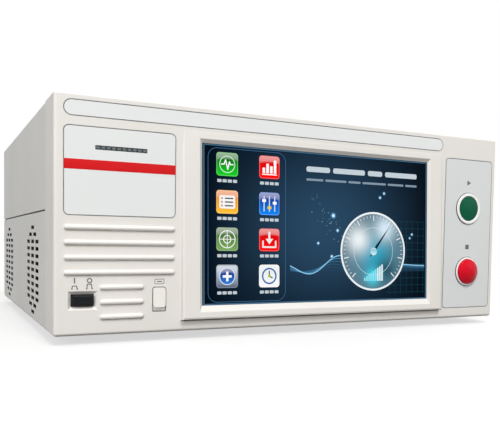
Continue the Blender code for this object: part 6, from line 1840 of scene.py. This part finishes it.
@dataclass
class RearPanel:
    """The rear sheet with its inlet, outlet, ports, terminals, earth stud and fan."""

    edge: float = 0.3
    screw_places: tuple[Point, ...] = (
        (-204.0, 16.0), (-204.0, 96.0), (-204.0, 168.0), (204.0, 16.0), (204.0, 96.0),
        (204.0, 168.0), (-96.0, 16.0), (16.0, 16.0), (96.0, 168.0), (-120.0, 168.0))
    bores: tuple[tuple[str, float], ...] = (
        ("high_voltage_socket", 5.0), ("return_socket", 5.0), ("bond_drive_socket_high", 4.4),
        ("bond_drive_socket_low", 4.4), ("bond_sense_socket_high", 4.1),
        ("bond_sense_socket_low", 4.1))
    line: float = 0.5
    line_run: Point = (-0.1, 0.05)
    line_corner: float = 3.0
    groups: tuple[tuple[tuple[str, ...], float], ...] = (
        (("high_voltage_socket", "return_socket"), 5.0),
        (("bond_drive_socket_high", "bond_sense_socket_low", "bond_drive_socket_low"), 5.0),
        (("network_port", "serial_port"), 6.0), (("device_outlet",), 4.5),
        (("mains_inlet",), 4.5))
    inlet_pin: Point = (2.2, 4.2)
    inlet_run: Point = (-14.8, -3.6)
    inlet_pins: tuple[Point, ...] = ((-7.0, 7.0), (0.0, 11.0), (7.0, 7.0))
    outlet_contact: Point = (0.6, 6.4)
    outlet_run: Point = (-7.6, -1.0)
    outlet_slots: tuple[Point, ...] = ((-9.0, -4.0), (0.0, 6.0), (9.0, -4.0))
    slot_half: float = 1.1
    pin_pitch: float = 2.77
    pin_rows: tuple[tuple[float, int], ...] = ((1.42, 5), (-1.42, 4))
    pin_shaft: tuple[Point, ...] = ((0.0, -0.5), (0.5, -0.5), (0.5, 4.6), (0.32, 5.1),
                                    (0.0, 5.2))
    network_contacts: int = 8
    network_pitch: float = 1.02
    network_rise: float = 3.1
    network_contact: Point = (0.45, 0.5)
    network_run: Point = (-10.5, -1.4)
    thread: Point = (2.62, 2.98)
    thread_pitch: float = 1.0
    shank: float = 2.9
    stud_end: Place = (2.6, 1.9, 0.8)
    bolt_head: Point = (6.0, 4.0)

    def build(self) -> None:
        """Dress the sheet and everything on it."""
        softened("rear_panel", self.edge, "rear_sheet")
        self.fasteners()
        self.print_lines()
        self.inlet()
        self.outlet()
        self.ports()
        self.earth()
        for node, bore in self.bores:
            Terminal(node, bore).build()
        Fan().build()

    def sheet(self) -> Plane:
        """The rear sheet's outer face, centred across, from the underside up."""
        return Plane((0.0, corners("rear_panel")[1][1], BEZEL_LOW[2]), LEFT, UP)

    def fasteners(self) -> None:
        """The screws that hold the rear sheet."""
        skin = Skin(self.sheet())
        for x, height in self.screw_places:
            Screw(radius=3.1, rise=1.6).add(skin, -x, height, 0.0)
        skin.build("rear_sheet_screws", Finish.NICKEL, slot="nickel")

    def print_lines(self) -> None:
        """Thin printed outlines round the terminals, the ports and the mains side."""
        skin = Skin(self.sheet())
        for nodes, margin in self.groups:
            low = np.min([corners(node)[0] for node in nodes], 0) - margin
            high = np.max([corners(node)[1] for node in nodes], 0) + margin
            area = (-high[0], low[2] - BEZEL_LOW[2], -low[0], high[2] - BEZEL_LOW[2])
            skin.border(area_outline(area, self.line_corner, 6), self.line,
                        *self.line_run)
        skin.build("rear_outlines", Finish.DARK_INK, slot="grey_paint")

    def inlet(self) -> None:
        """The mains inlet with its three pins, over the fuse drawer."""
        softened("mains_inlet", 0.3, "mains_inlet_body")
        softened("fuse_drawer", 0.3, "fuse_drawer_body")
        skin = Skin(rear_at("mains_inlet"))
        skin.blocks(self.inlet_pin, self.inlet_pins, *self.inlet_run, 0.4, 3, 0.5)
        skin.build("mains_inlet_pins", Finish.NICKEL, slot="nickel")

    def outlet(self) -> None:
        """The outlet for the apparatus under test, with brass contacts in its slots."""
        softened("device_outlet", 0.5, "device_outlet_body")
        places = [(x + side, y) for x, y in self.outlet_slots
                  for side in (-self.slot_half, self.slot_half)]
        skin = Skin(rear_at("device_outlet"))
        skin.blocks(self.outlet_contact, places, *self.outlet_run, 0.2, edge=0.2)
        skin.build("device_outlet_contacts", Finish.BRASS, slot="brass")

    def ports(self) -> None:
        """The serial port's pins and the network port's contacts."""
        softened("serial_port", 0.2, "serial_port_shell")
        softened("network_port", 0.2, "network_port_shell")
        pins = Skin(rear_at("serial_port"))
        for y, count in self.pin_rows:
            for x in row(count, self.pin_pitch):
                pins.loft(np.array([at_height(circle(radius, 12, (x, y)), height)
                                    for radius, height in self.pin_shaft]))
        pins.build("serial_port_pins", Finish.BRASS, slot="brass")
        places = [(x, self.network_rise)
                  for x in row(self.network_contacts, self.network_pitch)]
        contacts = Skin(rear_at("network_port"))
        contacts.blocks(self.network_contact, places, *self.network_run, 0.1, edge=0.15)
        contacts.build("network_port_contacts", Finish.BRASS, slot="brass")

    def earth(self) -> None:
        """The earth stud with its thread and bolt head, and its nut."""
        low, high = corners("earth_stud")
        face = corners("earth_nut")[1][1]
        x, _, z = middle("earth_stud")
        tip, back = high[1] - face, low[1] - face
        valley, crest = self.thread
        base, point, cone = self.stud_end
        radius, thick = self.bolt_head
        thread = []
        for height in np.arange(int((tip - cone) / self.thread_pitch)) * self.thread_pitch:
            thread += [(valley, height), (crest, height + self.thread_pitch / 2)]
        angle = np.arange(6) * math.pi / 3 + math.pi / 6
        skin = Skin(Plane((x, face, z), LEFT, UP))
        skin.plate(radius * np.stack([np.cos(angle), np.sin(angle)], 1), back, back + thick, 0.3)
        skin.turned([(0.0, back + thick - 0.1), (self.shank, back + thick),
                     (self.shank, -0.2), *thread, (base, tip - cone), (point, tip),
                     (0.0, tip)], 32)
        skin.build("earth_stud_thread", Finish.BRASS, ("earth_stud",), sharp=25.0)
        softened("earth_nut", 0.35, "earth_nut_body")


class Inside:
    """What lies inside the housing, seen only through the vents."""

    def build(self) -> None:
        """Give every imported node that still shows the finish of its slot."""
        for node, item in frame["nodes"].items():
            if item.hide_render:
                continue
            item.data.materials.clear()
            item.data.materials.append(finish_of(node).value.material())
            log.info("%s: packed node, %s", node, finish_of(node).value.title)


# Studio

@dataclass
class Studio:
    """A pale floor, plain soft light and the photograph's camera."""

    ambient: float = 0.42
    floor_size: float = 6.0
    near: float = 0.28
    far: float = 1.1
    floor_light: float = 0.62
    bounce: str = "#2c231a"
    pale: str = "#f8f8f7"
    cloudy: str = "#f4f4f3"
    cloud: float = 12.0
    camera_place: Place = (-291.6, -679.5, 79.0)
    turn: float = 26.72
    pitch: float = -2.80
    roll: float = 0.92
    focal: float = 655.9
    principal: Point = (264.1, 273.6)
    picture: Point = (500.0, 430.0)
    sensor: float = 36.0
    nearest: float = 0.01
    aim: Place = (0.0, 0.0, 0.09)
    lamps: tuple[tuple[str, Place, float, float], ...] = (
        ("key", (-0.2, -1.9, 2.3), 1.1, 49.0), ("fill", (1.7, -1.8, 1.0), 1.6, 5.0),
        ("back", (0.6, 2.2, 1.8), 1.6, 16.0), ("right", (2.3, 0.5, 1.2), 1.4, 12.0),
        ("side", (-1.75, -1.9, 0.85), 1.0, 27.0))

    def build(self) -> None:
        """Make the floor, the lamps, the surroundings and the camera."""
        self.floor()
        self.surroundings()
        for name, place, size, power in self.lamps:
            light = bpy.data.lights.new(name, "AREA")
            light.shape = "DISK"
            light.size = size
            light.energy = power
            lamp = bpy.data.objects.new(name, light)
            lamp.location = place
            ahead = Vector(self.aim) - Vector(place)
            lamp.rotation_euler = ahead.to_track_quat("-Z", "Y").to_euler()
            bpy.context.scene.collection.objects.link(lamp)
        self.camera()

    def seen(self, tree: bpy.types.NodeTree) -> bpy.types.NodeSocket:
        """Tell the rays that show the picture from those that only light it.

        Args:
            tree: the node tree that takes the nodes.
        Returns:
            1 for a ray from the camera, or one that metal or glass turned, else 0.
        """
        path = add_node(tree, "LightPath")
        first = add_node(tree, "Math", {0: path.outputs["Is Camera Ray"],
                                        1: path.outputs["Is Glossy Ray"]},
                         operation="MAXIMUM")
        return add_node(tree, "Math", {0: first.outputs[0],
                                       1: path.outputs["Is Transmission Ray"]},
                        operation="MAXIMUM").outputs[0]

    def floor(self) -> None:
        """A pale floor that keeps a soft shadow, and fades to white away from it."""
        half = self.floor_size / 2
        mesh = bpy.data.meshes.new("floor")
        mesh.from_pydata([(-half, -half, 0), (half, -half, 0), (half, half, 0),
                          (-half, half, 0)], [], [(0, 1, 2, 3)])
        material, tree = blank_material("matt_white_floor")
        place = add_node(tree, "TexCoord").outputs["Object"]
        away = add_node(tree, "VectorMath", {0: place}, operation="LENGTH")
        light = add_node(tree, "MapRange", {
            "Value": away.outputs["Value"], "From Min": self.near, "From Max": self.far,
            "To Min": self.floor_light, "To Max": 1.0}, interpolation_type="SMOOTHSTEP")
        share = add_node(tree, "Math", {0: light.outputs[0], 1: self.seen(tree)},
                         operation="MULTIPLY")
        noise = add_node(tree, "TexNoise", {"Vector": place, "Scale": self.cloud})
        pale = add_node(tree, "Mix", {0: noise.outputs[0], 6: linear(self.pale),
                                      7: linear(self.cloudy)}, data_type="RGBA")
        tone = add_node(tree, "Mix", {0: self.seen(tree), 6: linear(self.bounce),
                                      7: pale.outputs[2]}, data_type="RGBA")
        matt = add_node(tree, "BsdfDiffuse", {"Color": tone.outputs[2]})
        glow = add_node(tree, "Emission", {"Strength": 1.0})
        both = add_node(tree, "MixShader", {0: share.outputs[0], 1: matt.outputs[0],
                                            2: glow.outputs[0]})
        add_node(tree, "OutputMaterial", {"Surface": both.outputs[0]})
        mesh.materials.append(material)
        item = bpy.data.objects.new("floor", mesh)
        bpy.context.scene.collection.objects.link(item)

    def surroundings(self) -> None:
        """Even surroundings: white to the camera, dimmer as a light."""
        world = bpy.data.worlds.new("studio")
        world.use_nodes = True
        tree = world.node_tree
        tree.nodes.clear()
        strength = add_node(tree, "MapRange", {"Value": self.seen(tree),
                                               "To Min": self.ambient, "To Max": 1.0})
        ground = add_node(tree, "Background", {"Color": (1.0, 1.0, 1.0, 1.0),
                                               "Strength": strength.outputs[0]})
        add_node(tree, "OutputWorld", {"Surface": ground.outputs[0]})
        bpy.context.scene.world = world

    def camera(self) -> None:
        """The photograph's camera.

        It looks along (sin a cos p, cos a cos p, sin p) and is rolled about that line. The
        shift takes its axis to the photograph's principal point.
        """
        a, p, r = (math.radians(v) for v in (self.turn, self.pitch, self.roll))
        ahead = Vector((math.sin(a) * math.cos(p), math.cos(a) * math.cos(p), math.sin(p)))
        right = Vector((math.cos(a), -math.sin(a), 0.0))
        up = right.cross(ahead)
        rolled = math.cos(r) * right + math.sin(r) * up
        upright = -math.sin(r) * right + math.cos(r) * up
        matrix = Matrix((rolled, upright, -ahead)).transposed().to_4x4()
        matrix.translation = Vector(self.camera_place) * MM
        data = bpy.data.cameras.new("photograph_view")
        data.sensor_width = self.sensor
        data.lens = self.focal / self.picture[0] * self.sensor
        data.shift_x = (self.picture[0] / 2 - self.principal[0]) / self.picture[0]
        data.shift_y = (self.principal[1] - self.picture[1] / 2) / self.picture[0]
        data.clip_start = self.nearest
        camera = bpy.data.objects.new("photograph_view", data)
        camera.matrix_world = matrix
        bpy.context.scene.collection.objects.link(camera)
        bpy.context.scene.camera = camera


def main() -> None:
    """Dress the instrument piece by piece, and set up the studio."""
    logging.basicConfig(level=logging.INFO, format="%(name)s: %(message)s")
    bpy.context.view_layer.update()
    buttons = (PushButton("start", Finish.GREEN_BUTTON, height=107.6, ring=15.1, proud=1.5,
                          dome=1.1),
               PushButton("stop", Finish.RED_BUTTON, height=45.6, ring=14.0, proud=6.6,
                          dome=4.0))
    for assembly in (FrontFace(), *buttons, PowerSwitch(), PortDoor(), Display(), Housing(),
                     RearPanel(), Inside(), Studio()):
        log.info("building %s", type(assembly).__name__)
        assembly.build()
    bpy.context.scene.view_settings.view_transform = "Standard"


if __name__ == "__main__":
    main()
